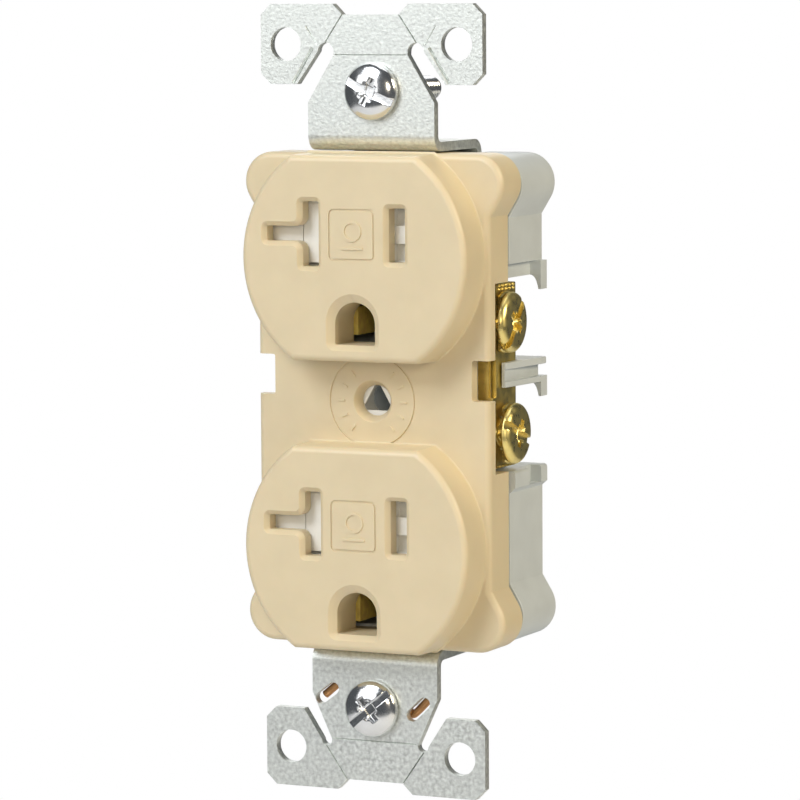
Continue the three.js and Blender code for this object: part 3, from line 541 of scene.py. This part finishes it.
def ticks():
    """Short raised lines round the centre hole, with a gap above and below it."""
    count, half = TICK.count, TICK.half
    line = rectangle(TICK.start, -half, TICK.end, half, 0.08)
    return [moved(prism("y", line, -RAISED.plate, RAISED.root), Matrix.Rotation(2 * pi * k / count, 4, "Y"))
            for k in range(count) if k % (count // 2) not in (3, 4)]


def centre_opening():
    """Cutters for the centre hole's funnel and for the ring engraved round it."""
    hole, throat, chamfer = CENTRE_HOLE.mouth, CENTRE_HOLE.throat, CENTRE_HOLE.chamfer
    lip = CATCH.front - 0.1
    funnel = [(hole + chamfer, -OVERRUN), (hole + chamfer, 0), (hole, chamfer), (throat, lip - 0.1),
              (hole, lip), (hole, PLATE_Y + OVERRUN)]
    line, top, bottom, depth = CENTRE_LINE.radius, CENTRE_LINE.top, CENTRE_LINE.bottom, CENTRE_LINE.depth
    ring = [(line - top, -0.04), (line - bottom, depth), (line + bottom, depth), (line + top, -0.04)]
    return [spin("y", 0, 0, funnel), spin("y", 0, 0, ring, ring=True, steps=72)]


def sleeve(z):
    """The wall round a grounding hole, inside the cover."""
    wall = pin_hole(z)(-PIN.sleeve_t)
    return loft("y", [(wall, FACE.inside - 0.2), (wall, PIN.sleeve)])


def cover():
    plate = prism("y", body_outline(), 0, PART_Y, BODY.edge, 0.15, 5)
    shell = join(plate, *[face_boss(z) for z in OUTLET_Z])
    in_x, in_z = BODY.half_width - BODY.wall, BODY.half_height - BODY.wall
    boss = CORNER.x - LOBE.radius
    past = PART_Y + OVERRUN
    far = GUIDE.outer + OVERRUN
    rooms = [prism("y", flat_disc(z, FACE.room, FACE.room_flat), FACE.inside, past) for z in OUTLET_Z]
    cavity = [
        box(-in_x, in_x, PLATE_Y, past, -POCKET_END, POCKET_END),
        box(-boss, boss, PLATE_Y, past, -in_z, in_z),
    ]
    zones = [on_side(s, box(ZONE.core, far, ZONE.lip, past, ZONE.bottom, ZONE.top)) for s in SIDES]
    low, high = ZONE.centre - NOTCH.half_height, ZONE.centre + NOTCH.half_height
    notches = [on_side(s, prism("y", rectangle(NOTCH.x, low, far, high, 0.3), -OVERRUN, PLATE_Y + OVERRUN))
               for s in SIDES]
    bores = [bar("y", x * CORNER.x, z * CORNER.z, CORNER.shank + GAP, PLATE_Y - OVERRUN, past)
             for x in SIDES for z in SIDES]
    mouths = [mouth(shape(z)) for z in OUTLET_Z for shape in (hot_slot, neutral_slot)]
    mouths += [mouth(pin_hole(z), PIN.mouth, PIN.lift, PIN.sleeve + OVERRUN) for z in OUTLET_Z]
    cut(shell, *rooms, *cavity, *zones, *notches, *bores)
    join(shell, *[sleeve(z) for z in OUTLET_Z])
    cut(shell, *mouths, *centre_opening(), *[frame_mark(z) for z in OUTLET_Z])
    join(shell, *[mark for z in OUTLET_Z for mark in raised_mark(z)], *ticks())
    finish(shell, "cover_shell", "outlet_body", "ivory_plastic", IVORY, "front_cover", bevel=0.06, sharp=26)


# ----- rear base -----

def wire_guide(top, web_foot, foot):
    """A plate that faces the wall, with a curved lower edge."""
    tip, outer, web = GUIDE.tip, GUIDE.outer, GUIDE.web
    curve = []
    for k in range(9):
        t = k / 8
        a, b, c = (1 - t) ** 2, 2 * t * (1 - t), t * t
        curve.append((a * (outer - tip) + b * (outer - 2 * tip) + c * web, a * foot + (b + c) * web_foot))
    loop = [(GUIDE.root, top), (outer, top), (outer, foot)] + curve + [(GUIDE.root, web_foot)]
    return loft("y", [(loop, GUIDE.front), (loop, GUIDE.back)])


def barrier():
    top, bottom = ZONE.centre + BARRIER.up, ZONE.centre - BARRIER.down
    bridge, web = BARRIER.bridge, BARRIER.bridge + BARRIER.skin
    behind = TERMINAL.back + GAP
    front, back, outer = BARRIER.front, GUIDE.back, GUIDE.outer
    rib = fillet([(bridge, front, 0), (BARRIER.nose, front, 0.3), (outer, GUIDE.front, 0.5),
                  (outer, back, 0.4), (bridge, back, 0)])
    return [
        box(GUIDE.root, web, behind, back - BARRIER.skin, bottom, top),
        box(bridge, web, front, behind + OVERRUN, bottom, top),
        prism("z", rib, top - BARRIER.upper_rib, top, 0.15, 0.15, 2),
        prism("z", rib, bottom, bottom + BARRIER.lower_rib, 0.15, 0.15, 2),
        wire_guide(bottom + BARRIER.lower_rib, bottom, bottom - GUIDE.drop),
    ]


def side_frame():
    front, root, outer = PART_Y + GAP, GUIDE.root, GUIDE.outer
    bottom, width = BLOCK.bottom, BODY.half_width
    slope = bottom + BLOCK.bevel
    flange = fillet([(root, bottom, 0), (width, bottom, 0), (outer, slope, 0), (outer, ZONE.bottom, 0.5),
                     (root, ZONE.bottom, 0)])
    recess = box(GUIDE.web, outer + OVERRUN, BLOCK.recess, GUIDE.front, slope, ZONE.bottom + OVERRUN)
    block = prism("y", flange, front, GUIDE.back)
    return [
        box(root, GUIDE.web, front, GUIDE.front + OVERRUN, BLOCK.web_foot, BLOCK.top),
        wire_guide(BLOCK.top, BLOCK.web_foot, BLOCK.web_foot - GUIDE.drop),
        *barrier(),
        cut(block, recess),
    ]


def base():
    front, past = PART_Y + GAP, BACK_Y + OVERRUN
    in_x, in_z = BODY.half_width - BODY.wall, BODY.half_height - BASE_SHRINK - BODY.wall
    far = GUIDE.outer + OVERRUN
    channel = STRAP.back - STRAP.t - GAP
    pad_top = GROUND.z + GROUND.half_width + GAP
    pad_foot = GROUND.z - GROUND.half_width - GAP
    core, inside = ZONE.core, ZONE.core_inside
    pocket = BLOCK.bottom - BODY.wall
    shell = prism("y", body_outline(BASE_SHRINK), front, BACK_Y, 0.15, 0.2, 3)
    zones = [on_side(s, box(core, far, 0, past, BLOCK.bottom, BLOCK.top)) for s in SIDES]
    cut(shell, *zones)
    join(shell, box(-core, core, PLATE_Y + GAP, front + OVERRUN, ZONE.bottom + GAP, ZONE.top - GAP))
    cut(shell,
        box(-inside, inside, 0, FLOOR_Y, -in_z, in_z),
        box(-in_x, in_x, 0, FLOOR_Y, BLOCK.top + BODY.wall, WING_END),
        box(-in_x, in_x, 0, FLOOR_Y, pad_top, pocket),
        box(0, in_x, 0, FLOOR_Y, -WING_END, pocket))
    join(shell, bar("y", 0, 0, CATCH.tube, CATCH.back + GAP, FLOOR_Y + OVERRUN))
    reach = STRAP.half + GAP
    cut(shell,
        box(-reach, reach, channel, past, -CLEAR, CLEAR),
        box(-far, -STRAP.half, channel, past, pad_foot, pad_top),
        box(-far, -GROUND.outside + STRAP.t + GAP, GROUND.leg - GAP, past, pad_foot, pad_top),
        bar("x", GROUND.y, GROUND.z, GROUND.head + GAP, -far, -GROUND.outside))
    for s in SIDES:
        join(shell, *[on_side(s, piece) for piece in side_frame()])
    outer, end, edge = WELL.outer, WELL.end, WELL.edge
    well = [(outer, FLOOR_Y - GAP), (outer, end - edge), (outer - edge, end)]
    join(shell, *[spin("y", 0, z + PIN.z, well) for z in OUTLET_Z])
    behind = TERMINAL.back + GAP
    arms = [on_side(s, box(inside - OVERRUN, core + OVERRUN, 0, behind, low - GAP, high + GAP))
            for s in SIDES for low, high in ARMS.values()]
    corners = [(x * CORNER.x, z * CORNER.z) for x in SIDES for z in SIDES]
    cut(shell,
        *[bar("y", 0, z + PIN.z, WELL.inner, FLOOR_Y - OVERRUN, WELL.end - WELL.cap) for z in OUTLET_Z],
        *[bar("y", 0, z, RIVET.shank + GAP, FLOOR_Y - OVERRUN, past) for z in RIVETS.values()],
        bar("y", 0, 0, CATCH.bore, CATCH.back, past),
        bar("x", GROUND.y, GROUND.z, SCREW.shank + GAP, -BODY.half_width, -inside),
        *[bar("y", x, z, CORNER.shank + GAP, 0, past) for x, z in corners],
        *[bar("y", x, z, CORNER.head + GAP, CORNER.seat, past) for x, z in corners],
        *arms)
    finish(shell, "base_shell", "outlet_body", "grey_plastic", GREY, "rear_base", bevel=0.15, sharp=26)


# ----- strap -----

def band():
    """The strip's side view: down from the top tab, back over the body, and forward to the bottom tab."""
    t, run, back, bend = STRAP.t, STRAP.run, STRAP.back, STRAP.bend
    inner, quarter, end, n = bend - t, pi / 2, run + bend + OVERRUN, 10
    upper_out = [(0, end)] + arc(bend, run + bend, bend, pi, 3 * quarter, n)
    upper_out += arc(back - bend, run - inner, inner, quarter, 0, n)
    upper_in = arc(back - bend, run - inner, bend, 0, quarter, n)
    upper_in += arc(bend, run + bend, inner, 3 * quarter, 2 * quarter, n) + [(t, end)]
    lower_out = [(y, -z) for y, z in reversed(upper_out)]
    lower_in = [(y, -z) for y, z in reversed(upper_in)]
    loop = upper_out + lower_out + lower_in + upper_in
    return loft("x", [(loop, -STRAP.half), (loop, STRAP.half)])


def tab_half(tab):
    """The right half of the tab and ear above the body; a slant slot parts the tab from the ear."""
    outer, top, bottom, chamfer = EAR.outer, EAR.top, EAR.bottom, EAR.chamfer
    low, notch, lap = STRAP.run + STRAP.bend + GAP, TAB.notch, TAB.lap
    slot = arc(tab.slot_x, STRAP.tab_end + tab.rise, tab.radius, pi, 0, 12)
    loop = [(-lap, low), (STRAP.half, low), (STRAP.half, TAB.shoulder), (tab.neck, STRAP.tab_end)]
    loop += slot + [(tab.foot, bottom), (outer - chamfer, bottom), (outer, bottom + chamfer),
                    (outer, top - chamfer), (outer - chamfer, top), (notch + chamfer, top),
                    (notch, top - chamfer), (-lap, top - chamfer)]
    return loft("y", [(loop, 0), (loop, STRAP.t)])


def groove(u0, v0, u1, v1, width=0.15, depth=0.2):
    """Cutter for a scored line in the strap's front, from one point to another."""
    along = Vector((u1 - u0, 0, v1 - v0))
    side = Vector((along.z, 0, -along.x)).normalized() * width
    top, deep = Vector((0, -depth, 0)), Vector((0, depth, 0))
    a, b = Vector((u0, 0, v0)), Vector((u0, 0, v0)) + along
    verts = [p + q for p in (a, b) for q in (side + top, deep, top - side)]
    return solid(verts, [(0, 1, 2), (3, 4, 5), (0, 1, 4, 3), (1, 2, 5, 4), (2, 0, 3, 5)])


def obround(u0, v0, u1, v1, radius):
    along = Vector((u1 - u0, v1 - v0))
    angle = along.angle_signed(Vector((1, 0))) if along.length else 0
    loop = arc(u1, v1, radius, angle - pi / 2, angle + pi / 2, 10)
    loop += arc(u0, v0, radius, angle + pi / 2, angle + 3 * pi / 2, 10)
    return loft("y", [(loop, -OVERRUN), (loop, STRAP.t + OVERRUN)])


def strap():
    t, half, back = STRAP.t, STRAP.half, STRAP.back
    shell = band()
    for s in SIDES:
        join(shell, on_side(s, tab_half(TOP_TAB)), on_side(s, mirror(tab_half(BOTTOM_TAB), 2)))
    outside, low, high = GROUND.outside, GROUND.z - GROUND.half_width, GROUND.z + GROUND.half_width
    leg = prism("y", rectangle(-outside, low, -outside + t, high, 0.2, 5), GROUND.leg, back)
    join(shell, box(-outside, -half + OVERRUN, back - t, back, low, high), leg)
    inner = back - t
    holes = [bar("y", x * EAR.hole_x, z * EAR.hole_z, EAR.hole, -OVERRUN, t + OVERRUN, 40)
             for x in SIDES for z in SIDES]
    holes += [obround(-MOUNT.slide, z * MOUNT.z, MOUNT.slide, z * MOUNT.z, MOUNT.slot) for z in SIDES]
    holes += [obround(*window, WINDOW_RADIUS) for window in WINDOWS]
    holes += [bar("y", 0, z + PIN.z, WELL.outer + GAP, inner - OVERRUN, back + OVERRUN) for z in OUTLET_Z]
    holes += [bar("y", 0, z, RIVET.shank + GAP, inner - OVERRUN, back + OVERRUN) for z in RIVETS.values()]
    holes.append(bar("y", 0, 0, STRAP.hole, inner - OVERRUN, back + OVERRUN, 24))
    holes.append(bar("x", GROUND.y, GROUND.z, SCREW.shank + GAP, -outside - OVERRUN, -outside + t + OVERRUN))
    scores = []
    for z, tab in ((1, TOP_TAB), (-1, BOTTOM_TAB)):
        line, slot_end = tab.score, STRAP.tab_end + tab.rise + tab.radius
        scores.append(groove(-tab.neck + 0.2, z * line, tab.neck - 0.2, z * line))
        scores += [groove(x * (tab.slot_x + 0.1), z * slot_end, x * TAB.notch,
                          z * (EAR.top - EAR_BREAK.end), EAR_BREAK.width, EAR_BREAK.depth)
                   for x in SIDES]
    scores += [groove(x * u0, v0, x * u1, v1, width, depth)
               for x in SIDES for u0, v0, u1, v1, width, depth in EAR_SCORES]
    cut(shell, *holes, *scores)
    finish(shell, "strap_sheet", "outlet_body", "zinc_steel", ZINC, "mounting_strap", bevel=0.05)


# ----- screws and washers, built along +X with the seat at X = 0 -----

def driver_recess(height, reach, slot=0.55, depth=0.8, cross=1.9):
    """A slot across the head, crossed by a short second one, with a square pit in the middle."""
    pit = [(1.2, height + OVERRUN), (1.0, height - depth * 0.6), (0.6, height - depth * 1.2)]
    return [
        box(height - depth, height + OVERRUN, -slot, slot, -reach, reach),
        box(height - depth, height + OVERRUN, -cross, cross, -slot, slot),
        loft("x", [(rectangle(-half, -half, half, half)(), x) for half, x in pit]),
    ]


def binder_screw(head, height, shank, length):
    """A low head with a wide round shoulder and a flat face, on a threaded shank."""
    rim, face = 0.15, head * 0.74
    shoulder = [(face + (head - face) * cos(a), rim + (height - rim) * sin(a)) for a in arc_steps(8)]
    profile = [(TURNED_TIP, 0), (head - 0.1, 0), (head, 0.08)] + shoulder + [(TURNED_TIP, height)]
    blank = spin("x", 0, 0, profile, steps=64)
    join(blank, threaded(shank, THREAD.binder, -length, THREAD.root))
    return cut(blank, *driver_recess(height, head + OVERRUN))


def domed_screw():
    head, rim, height = MOUNT.head, MOUNT.rim, MOUNT.height
    dome = [(head * cos(a) ** 0.9, rim + (height - rim) * sin(a)) for a in arc_steps(12)[:-1]]
    profile = [(TURNED_TIP, 0), (head - 0.1, 0), (head, 0.1)] + dome + [(TURNED_TIP, height)]
    blank = spin("x", 0, 0, profile, steps=64)
    join(blank, threaded(MOUNT.shank, THREAD.mount, -MOUNT.length, THREAD.root))
    return cut(blank, *driver_recess(height, head + OVERRUN, 0.5, 0.95))


def facing(heading, x, y, z, turn=0):
    """A place for a screw whose head points along a heading, turned about its own axis, in degrees."""
    return (Matrix.Translation(Vector((x, y, z)) * MM) @ Matrix.Rotation(radians(heading), 4, "Z")
            @ Matrix.Rotation(radians(turn), 4, "X"))


def clamp_washer(radius, front=-CLEAR, back=CLEAR):
    """A clamp plate with a dished rim: round above and below, and cut straight at its front and back."""
    bore, t, dish = SCREW.shank + GAP, WASHER.t, WASHER.dish
    profile = [(bore, 0), (radius, 0), (radius, t - dish), (radius - dish, t), (bore, t)]
    blank = spin("x", 0, 0, profile, ring=True, steps=64)
    return cut(blank, box(-OVERRUN, OVERRUN, back, back + CLEAR, -CLEAR, CLEAR),
               box(-OVERRUN, OVERRUN, front - CLEAR, front, -CLEAR, CLEAR))


def line_terminals():
    finishes = (("hot", 1, BRASS, "brass_screw"), ("neutral", -1, NICKEL, "nickel_screw"))
    for line, side, material, slot in finishes:
        heading = 0 if side > 0 else 180
        for level, spot in TERMINALS.items():
            screw_node, washer_node = f"{line}_screw_{level}", f"{line}_washer_{level}"
            low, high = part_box(washer_node)
            seat = min(abs(low.x), abs(high.x)) / MM
            low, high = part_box(screw_node)
            head_seat = max(abs(low.x), abs(high.x)) / MM - SCREW.height
            y, z = TERMINAL.y, spot.z
            front, back = TERMINAL.front - y, TERMINAL.back - y - GAP
            if side < 0:
                front, back = -back, -front
            finish(clamp_washer(WASHER.radius, front, back), f"{line}_clamp_{level}",
                   f"{line}_{level}_clamp", slot, material, washer_node,
                   place=facing(heading, side * seat, y, z))
            finish(binder_screw(SCREW.head, SCREW.height, SCREW.shank, SCREW.length),
                   f"{line}_terminal_screw_{level}", f"{line}_{level}_screw", slot, material, screw_node,
                   place=facing(heading, side * head_seat, y, z, spot.turn), bevel=0.05)


def ground_terminal():
    seat, y, z = GROUND.outside + GAP, GROUND.y, GROUND.z
    finish(clamp_washer(GROUND.head), "ground_clamp_washer", "ground_clamp", "green_screw", GREEN,
           "ground_washer", place=facing(180, -seat, y, z))
    finish(binder_screw(GROUND.head, SCREW.height, SCREW.shank, GROUND.length),
           "ground_terminal_screw", "ground_screw", "green_screw", GREEN, "ground_screw", bevel=0.05,
           place=facing(180, -seat - WASHER.t - GAP, y, z, GROUND.turn))


def mounting_screws():
    for level, spot in MOUNTED.items():
        place = facing(-90, spot.x, -GAP, spot.z, spot.turn)
        finish(domed_screw(), f"{level}_mounting_screw_turned", f"{level}_mounting_screw", "bright_steel",
               STEEL, f"mounting_screw_{level}", place=place, bevel=0.05)
    low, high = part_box("retaining_washer")
    middle = (low + high) / (2 * MM)
    inner, outer = RETAINER.inner, RETAINER.outer
    ring = [(inner, low.y / MM), (outer, low.y / MM), (outer, high.y / MM), (inner, high.y / MM)]
    finish(spin("y", middle.x, middle.z, ring, ring=True), "fibre_washer", "top_screw_washer", "fibre", FIBRE,
           "retaining_washer", bevel=0.06)


def body_screws():
    for x in SIDES:
        for z in SIDES:
            name = f"body_screw_{'top' if z > 0 else 'bottom'}_{'left' if x < 0 else 'right'}"
            turn = 37 * x + 61 * z       # different on each of the four
            finish(binder_screw(CORNER.head, CORNER.height, CORNER.shank, CORNER.length),
                   f"{name}_turned", "outlet_body", "bright_steel", STEEL, name, bevel=0.04,
                   place=facing(90, x * CORNER.x, CORNER.seat + GAP, z * CORNER.z, turn))


# ----- contacts -----

def blade_clip(axis, middle, start, end):
    """Two leaves that grip a blade, swept along an axis: wide at the root, pinched, then flared."""
    root, pinch, wide, t = LEAF.root, LEAF.pinch, LEAF.mouth, LEAF.t
    foot, waist, tip = LEAF.foot, LEAF.waist, LEAF.tip
    points = [(root, foot), (pinch, waist), (wide, tip)]
    points += [(x + t, y) for x, y in reversed(points)]
    leaves = []
    for sign in SIDES:
        loop = [(middle + sign * away, y) for away, y in points]
        if axis == "x":
            loop = [(y, away) for away, y in loop]
        leaves.append(loft(axis, [(loop, start), (loop, end)]))
    return leaves


def serrations(terminal_z, rows):
    """Rows of small teeth on the side plate, beside a terminal screw, that bite the wire."""
    outside = TERMINAL.inside + TERMINAL.t
    teeth = []
    for row in rows:
        for column in range(-1, 4):
            y, z = TERMINAL.y + TOOTH.pitch * column, terminal_z + row
            wide, narrow = circle(y, z, TOOTH.foot, 8)(), circle(y, z, TOOTH.tip, 8)()
            teeth.append(loft("x", [(wide, outside - 0.2), (wide, outside - 0.02),
                                    (narrow, outside + TOOTH.height)]))
    return teeth


def line_contact():
    inside, t, front, back = TERMINAL.inside, TERMINAL.t, TERMINAL.front, TERMINAL.back
    outside = inside + t
    plate = prism("x", rectangle(front, ARMS["lower"][0], back, ARMS["upper"][1], 0.25), inside, outside)
    top, foot = ZONE.centre + TAB_OFF.half, ZONE.centre - TAB_OFF.half
    pieces = [
        box(TAB_OFF.inner, TAB_OFF.outer, TAB_OFF.front, TAB_OFF.front + t, foot, top),
        box(inside, outside, TAB_OFF.front, front + GAP, top - t, top),
        box(inside, outside, TAB_OFF.front, front + GAP, foot, foot + t),
    ]
    for level, z in OUTLETS.items():
        line, (arm_low, arm_high) = z + BLADE.z, ARMS[level]
        low, high = min(line - LEAF.half, arm_low), max(line + LEAF.half, arm_high)
        pieces += [
            box(BLADE.x - LEAF.root_half, BLADE.x + LEAF.root_half, back - t, back, low, high),
            box(BLADE.x, outside - 0.1, back - t, back - 0.02, arm_low, arm_high),
            *blade_clip("z", BLADE.x, line - LEAF.half, line + LEAF.half),
        ]
    for spot in TERMINALS.values():
        pieces += serrations(spot.z, spot.teeth)
    join(plate, *pieces)
    return cut(plate, *[bar("x", TERMINAL.y, spot.z, SCREW.shank + GAP, inside - OVERRUN, outside + OVERRUN)
                        for spot in TERMINALS.values()])


def contacts():
    finish(line_contact(), "hot_contact_strip", "outlet_body", "brass_contact", CONTACT, "hot_contact",
           bevel=0.08)
    neutral = line_contact()
    near, far, half = FLAT_CLIP.near, FLAT_CLIP.far, FLAT_CLIP.half
    for z in OUTLET_Z:
        line = z + BLADE.z
        web = box(near - OVERRUN, far, TERMINAL.back - TERMINAL.t + 0.02, TERMINAL.back - 0.02,
                  line - half, line + half)
        join(neutral, web, *blade_clip("x", line, near, far))
    finish(mirror(neutral), "neutral_contact_strip", "outlet_body", "brass_contact", CONTACT,
           "neutral_contact", bevel=0.08)


def rivets():
    """Each has a flat head inside the base and a domed one behind the strap."""
    for level, z in RIVETS.items():
        low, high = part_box(f"ground_rivet_{level}")
        start, end, axis = low.y / MM, high.y / MM, 0.4
        r, shank, height = RIVET.head, RIVET.shank, RIVET.height
        profile = [(axis, start), (r, start), (r, start + height), (shank, start + height),
                   (shank, end - height), (r, end - height), (r, end - height + 0.2), (r - 0.25, end - 0.25),
                   (r - 0.8, end - 0.06), (axis, end)]
        finish(spin("y", 0, z, profile), f"rivet_{level}", "outlet_body", "brass_contact", CONTACT,
               f"ground_rivet_{level}")


# ----- centre insert, clip, springs and shutters -----

def screw_catch():
    """The white insert in the centre hole, hollow behind its three-sided opening."""
    angles = [radians(a + flat) for a in (90, 210, 330) for flat in (-CATCH.flat, CATCH.flat)]
    corners = [(CATCH.grip * cos(a), CATCH.grip * sin(a), 0.1) for a in angles]
    tube_end, nose, edge, front = PLATE_Y + GAP, CATCH.nose, CATCH.edge, CATCH.front
    profile = [(nose - edge, front), (nose, front + edge), (nose, tube_end), (CATCH.tube, tube_end),
               (CATCH.tube, CATCH.back)]
    hollow = bar("y", 0, 0, nose - CATCH.wall, front + CATCH.skin, PART_Y)
    insert = cut(spin("y", 0, 0, profile), prism("y", fillet(corners), 0, PART_Y), hollow)
    finish(insert, "catch_insert", "outlet_body", "white_plastic", WHITE, "screw_catch", bevel=0.05)


def clip():
    """A wire that runs behind the bottom tab, as one smooth curve through its route."""
    route = [Vector((x, CLIP.y, z)) for x, z in CLIP_ROUTE]
    route = [2 * route[0] - route[1]] + route + [2 * route[-1] - route[-2]]
    points = []
    for before, start, end, after in zip(route, route[1:], route[2:], route[3:]):
        leave, arrive = (end - before) * CLIP.tension, (after - start) * CLIP.tension
        for k in range(8):
            t = k / 8
            points.append((2 * t**3 - 3 * t**2 + 1) * start + (t**3 - 2 * t**2 + t) * leave
                          + (3 * t**2 - 2 * t**3) * end + (t**3 - t**2) * arrive)
    finish(tube(points + [route[-2]], CLIP.wire, 14), "clip_wire", "outlet_body", "bronze_wire", BRONZE,
           "grounding_clip")


def coil(axis, start, end, u, v, turns):
    """A compression spring: its first and last turns lie flat and close."""
    radius, wire, steps = SPRING.outer - SPRING.wire, SPRING.wire, 16
    points = []
    for k in range(turns * steps + 1):
        turn = k / steps
        if turn < 1:
            share = turn * wire * 2
        elif turn > turns - 1:
            share = end - start - 2 * wire - (turns - turn) * wire * 2
        else:
            share = 2 * wire + (turn - 1) / (turns - 2) * (end - start - 6 * wire)
        a = 2 * pi * turn
        points.append(PLACE[axis](u + radius * cos(a), v + radius * sin(a), start + wire + share))
    return tube(points, wire, 8)


def springs():
    middle = (SHUTTER.front + SHUTTER.back) / 2
    for level, z in OUTLETS.items():
        start, end = BLOCKER.lug + BLOCKER.lug_t + 0.2, SLIDE_SPRING.post
        piece = coil("x", start, end, middle, z + SLIDE_SPRING.z, 9)
        finish(piece, f"{level}_slide_coil", "outlet_body", "spring_steel", WIRE, f"{level}_slide_spring")
        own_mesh(piece)
        foot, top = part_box(f"{level}_arm_spring")
        piece = coil("z", foot.z / MM, top.z / MM, ARM_SPRING_X, middle, 9)
        finish(piece, f"{level}_arm_coil", "outlet_body", "spring_steel", WIRE, f"{level}_arm_spring")
        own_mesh(piece)


def ramp(x0, x1, z0, z1, shallow, deep):
    """Cutter for a sloping pocket in a shutter's front, deepest at its x0 side."""
    front = SHUTTER.front
    loop = [(x0, front - OVERRUN), (x1, front - OVERRUN), (x1, front + shallow), (x0, front + deep)]
    return loft("z", [(loop, z0), (loop, z1)])


def shutters():
    front, back = SHUTTER.front, SHUTTER.back
    half, lug, x = BLOCKER.half, BLOCKER.lug, BLADE.x
    for level, z in OUTLETS.items():
        line, top, foot = z + BLADE.z, z + BLOCKER.bar_top, z + BLOCKER.bar_foot
        slide = box(-x - half, x + half, front, back, foot, top)
        join(slide,
             box(-x - half - BLOCKER.wider, -x + half, front, back, top - GAP, line + BLOCKER.neutral),
             box(x - half, x + half, front, back, top - GAP, line + BLOCKER.hot),
             box(lug, lug + BLOCKER.lug_t, front, back, z + BLOCKER.lug_foot, top))
        left, right, near, far = x - RAMP.inner, x + half + OVERRUN, RAMP.near, RAMP.far
        cut(slide,
            ramp(left, right, line + near, line + far, RAMP.shallow, RAMP.deep),
            ramp(left, right, line - far, line - near, RAMP.shallow, RAMP.deep),
            ramp(-x - half - OVERRUN, -x + NOOK.inner, line + NOOK.foot, line + NOOK.top,
                 NOOK.depth, NOOK.depth))
        finish(slide, f"{level}_shutter", f"{level}_slide", "white_plastic", WHITE, f"{level}_shutter_slide",
               bevel=0.05)


def carried_over():
    """CAD nodes whose shapes stand as they are get a finish and slightly softened edges."""
    looks = {"ground_contact": GROUND_BRASS, "arm_shutter": WHITE, "shutter_tray": NATURAL}
    for name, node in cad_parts.items():
        for part, material in looks.items():
            if part in name:
                node.data.materials.clear()
                node.data.materials.append(material)
                step = node.modifiers.new("edges", "BEVEL")
                step.width = 0.08 * MM
                step.limit_method = "ANGLE"


# ----- studio -----

def camera():
    """The camera looks at the outlet from its right and a little above."""
    azimuth, elevation, roll = radians(CAMERA.azimuth), radians(CAMERA.elevation), radians(CAMERA.roll)
    back = Vector((sin(azimuth) * cos(elevation), -cos(azimuth) * cos(elevation), sin(elevation)))
    right = Vector((cos(azimuth), sin(azimuth), 0))
    up = back.cross(right)
    right, up = right * cos(roll) + up * sin(roll), up * cos(roll) - right * sin(roll)
    eye, aim = back * CAMERA.distance, right * CAMERA.aim_right + up * CAMERA.aim_up
    back = (eye - aim).normalized()
    right = up.cross(back).normalized()
    up = back.cross(right)
    data = bpy.data.cameras.new("camera")
    data.lens = CAMERA.lens
    data.clip_start, data.clip_end = 0.01, 20
    obj = into_scene("camera", data)
    obj.matrix_world = Matrix.Translation(eye) @ Matrix((right, up, back)).transposed().to_4x4()
    bpy.context.scene.camera = obj


def area_light(name, spot, aim, size, power, colour=(1, 1, 1)):
    """A soft rectangle of light, turned towards its aim."""
    data = bpy.data.lights.new(name, "AREA")
    data.shape = "RECTANGLE"
    data.size, data.size_y = size
    data.energy = power
    data.color = colour
    obj = into_scene(name, data)
    away = Vector(spot) - Vector(aim)
    obj.matrix_world = Matrix.Translation(spot) @ away.to_track_quat("Z", "Y").to_matrix().to_4x4()


def surroundings():
    """A dim room for the light, behind a white background for the camera."""
    world = bpy.data.worlds.new("studio")
    world.use_nodes = True
    nodes, links = world.node_tree.nodes, world.node_tree.links
    room = set_inputs(nodes["Background"], Color=(0.9, 0.95, 1, 1), Strength=0.1)
    paper = set_inputs(nodes.new("ShaderNodeBackground"), Color=(1, 1, 1, 1))
    seen, choice = nodes.new("ShaderNodeLightPath"), nodes.new("ShaderNodeMixShader")
    links.new(seen.outputs["Is Camera Ray"], choice.inputs["Fac"])
    links.new(room.outputs["Background"], choice.inputs[1])
    links.new(paper.outputs["Background"], choice.inputs[2])
    links.new(choice.outputs["Shader"], nodes["World Output"].inputs["Surface"])
    bpy.context.scene.world = world
    bpy.context.scene.view_settings.view_transform = "Standard"


def studio():
    """Soft lights round the outlet, a card that the metal reflects, and a pale floor."""
    area_light("key", (-0.3, -0.8, 0.7), (0, 0, 0.02), (0.5, 0.5), 7.4, (0.97, 1, 1.04))
    area_light("card", (-0.45, -0.9, 0.24), (0, 0, 0), (0.66, 0.5), 1.7)
    area_light("front", (0.42, -0.88, 0.22), (0, 0, 0), (0.2, 0.2), 1.5, (1, 0.88, 0.70))
    area_light("side", (0.92, -0.12, 0.45), (0, 0, 0), (0.4, 0.4), 6.1, (1, 0.87, 0.63))
    area_light("top", (0.05, 0.05, 0.8), (0, 0, 0), (0.6, 0.5), 1.6)
    area_light("back", (-0.5, 0.9, 0.4), (0, 0, 0), (0.6, 0.5), 1.6)
    surroundings()
    reach, drop = 0.6, 0.2       # the floor's half-size and its distance below the strap, in metres
    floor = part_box("mounting_strap")[0].z - drop
    mesh = bpy.data.meshes.new("floor")
    corners = [(-reach, -reach), (reach, -reach), (reach, reach), (-reach, reach)]
    mesh.from_pydata([(x, y, floor) for x, y in corners], [], [(0, 1, 2, 3)])
    obj = into_scene("floor", mesh)
    mesh.materials.append(shade("paper", (0.8, 0.8, 0.8), 0.9, tint=0.01, grain=8))


camera()
cover()
base()
strap()
line_terminals()
ground_terminal()
mounting_screws()
body_screws()
contacts()
rivets()
screw_catch()
clip()
springs()
shutters()
carried_over()
studio()
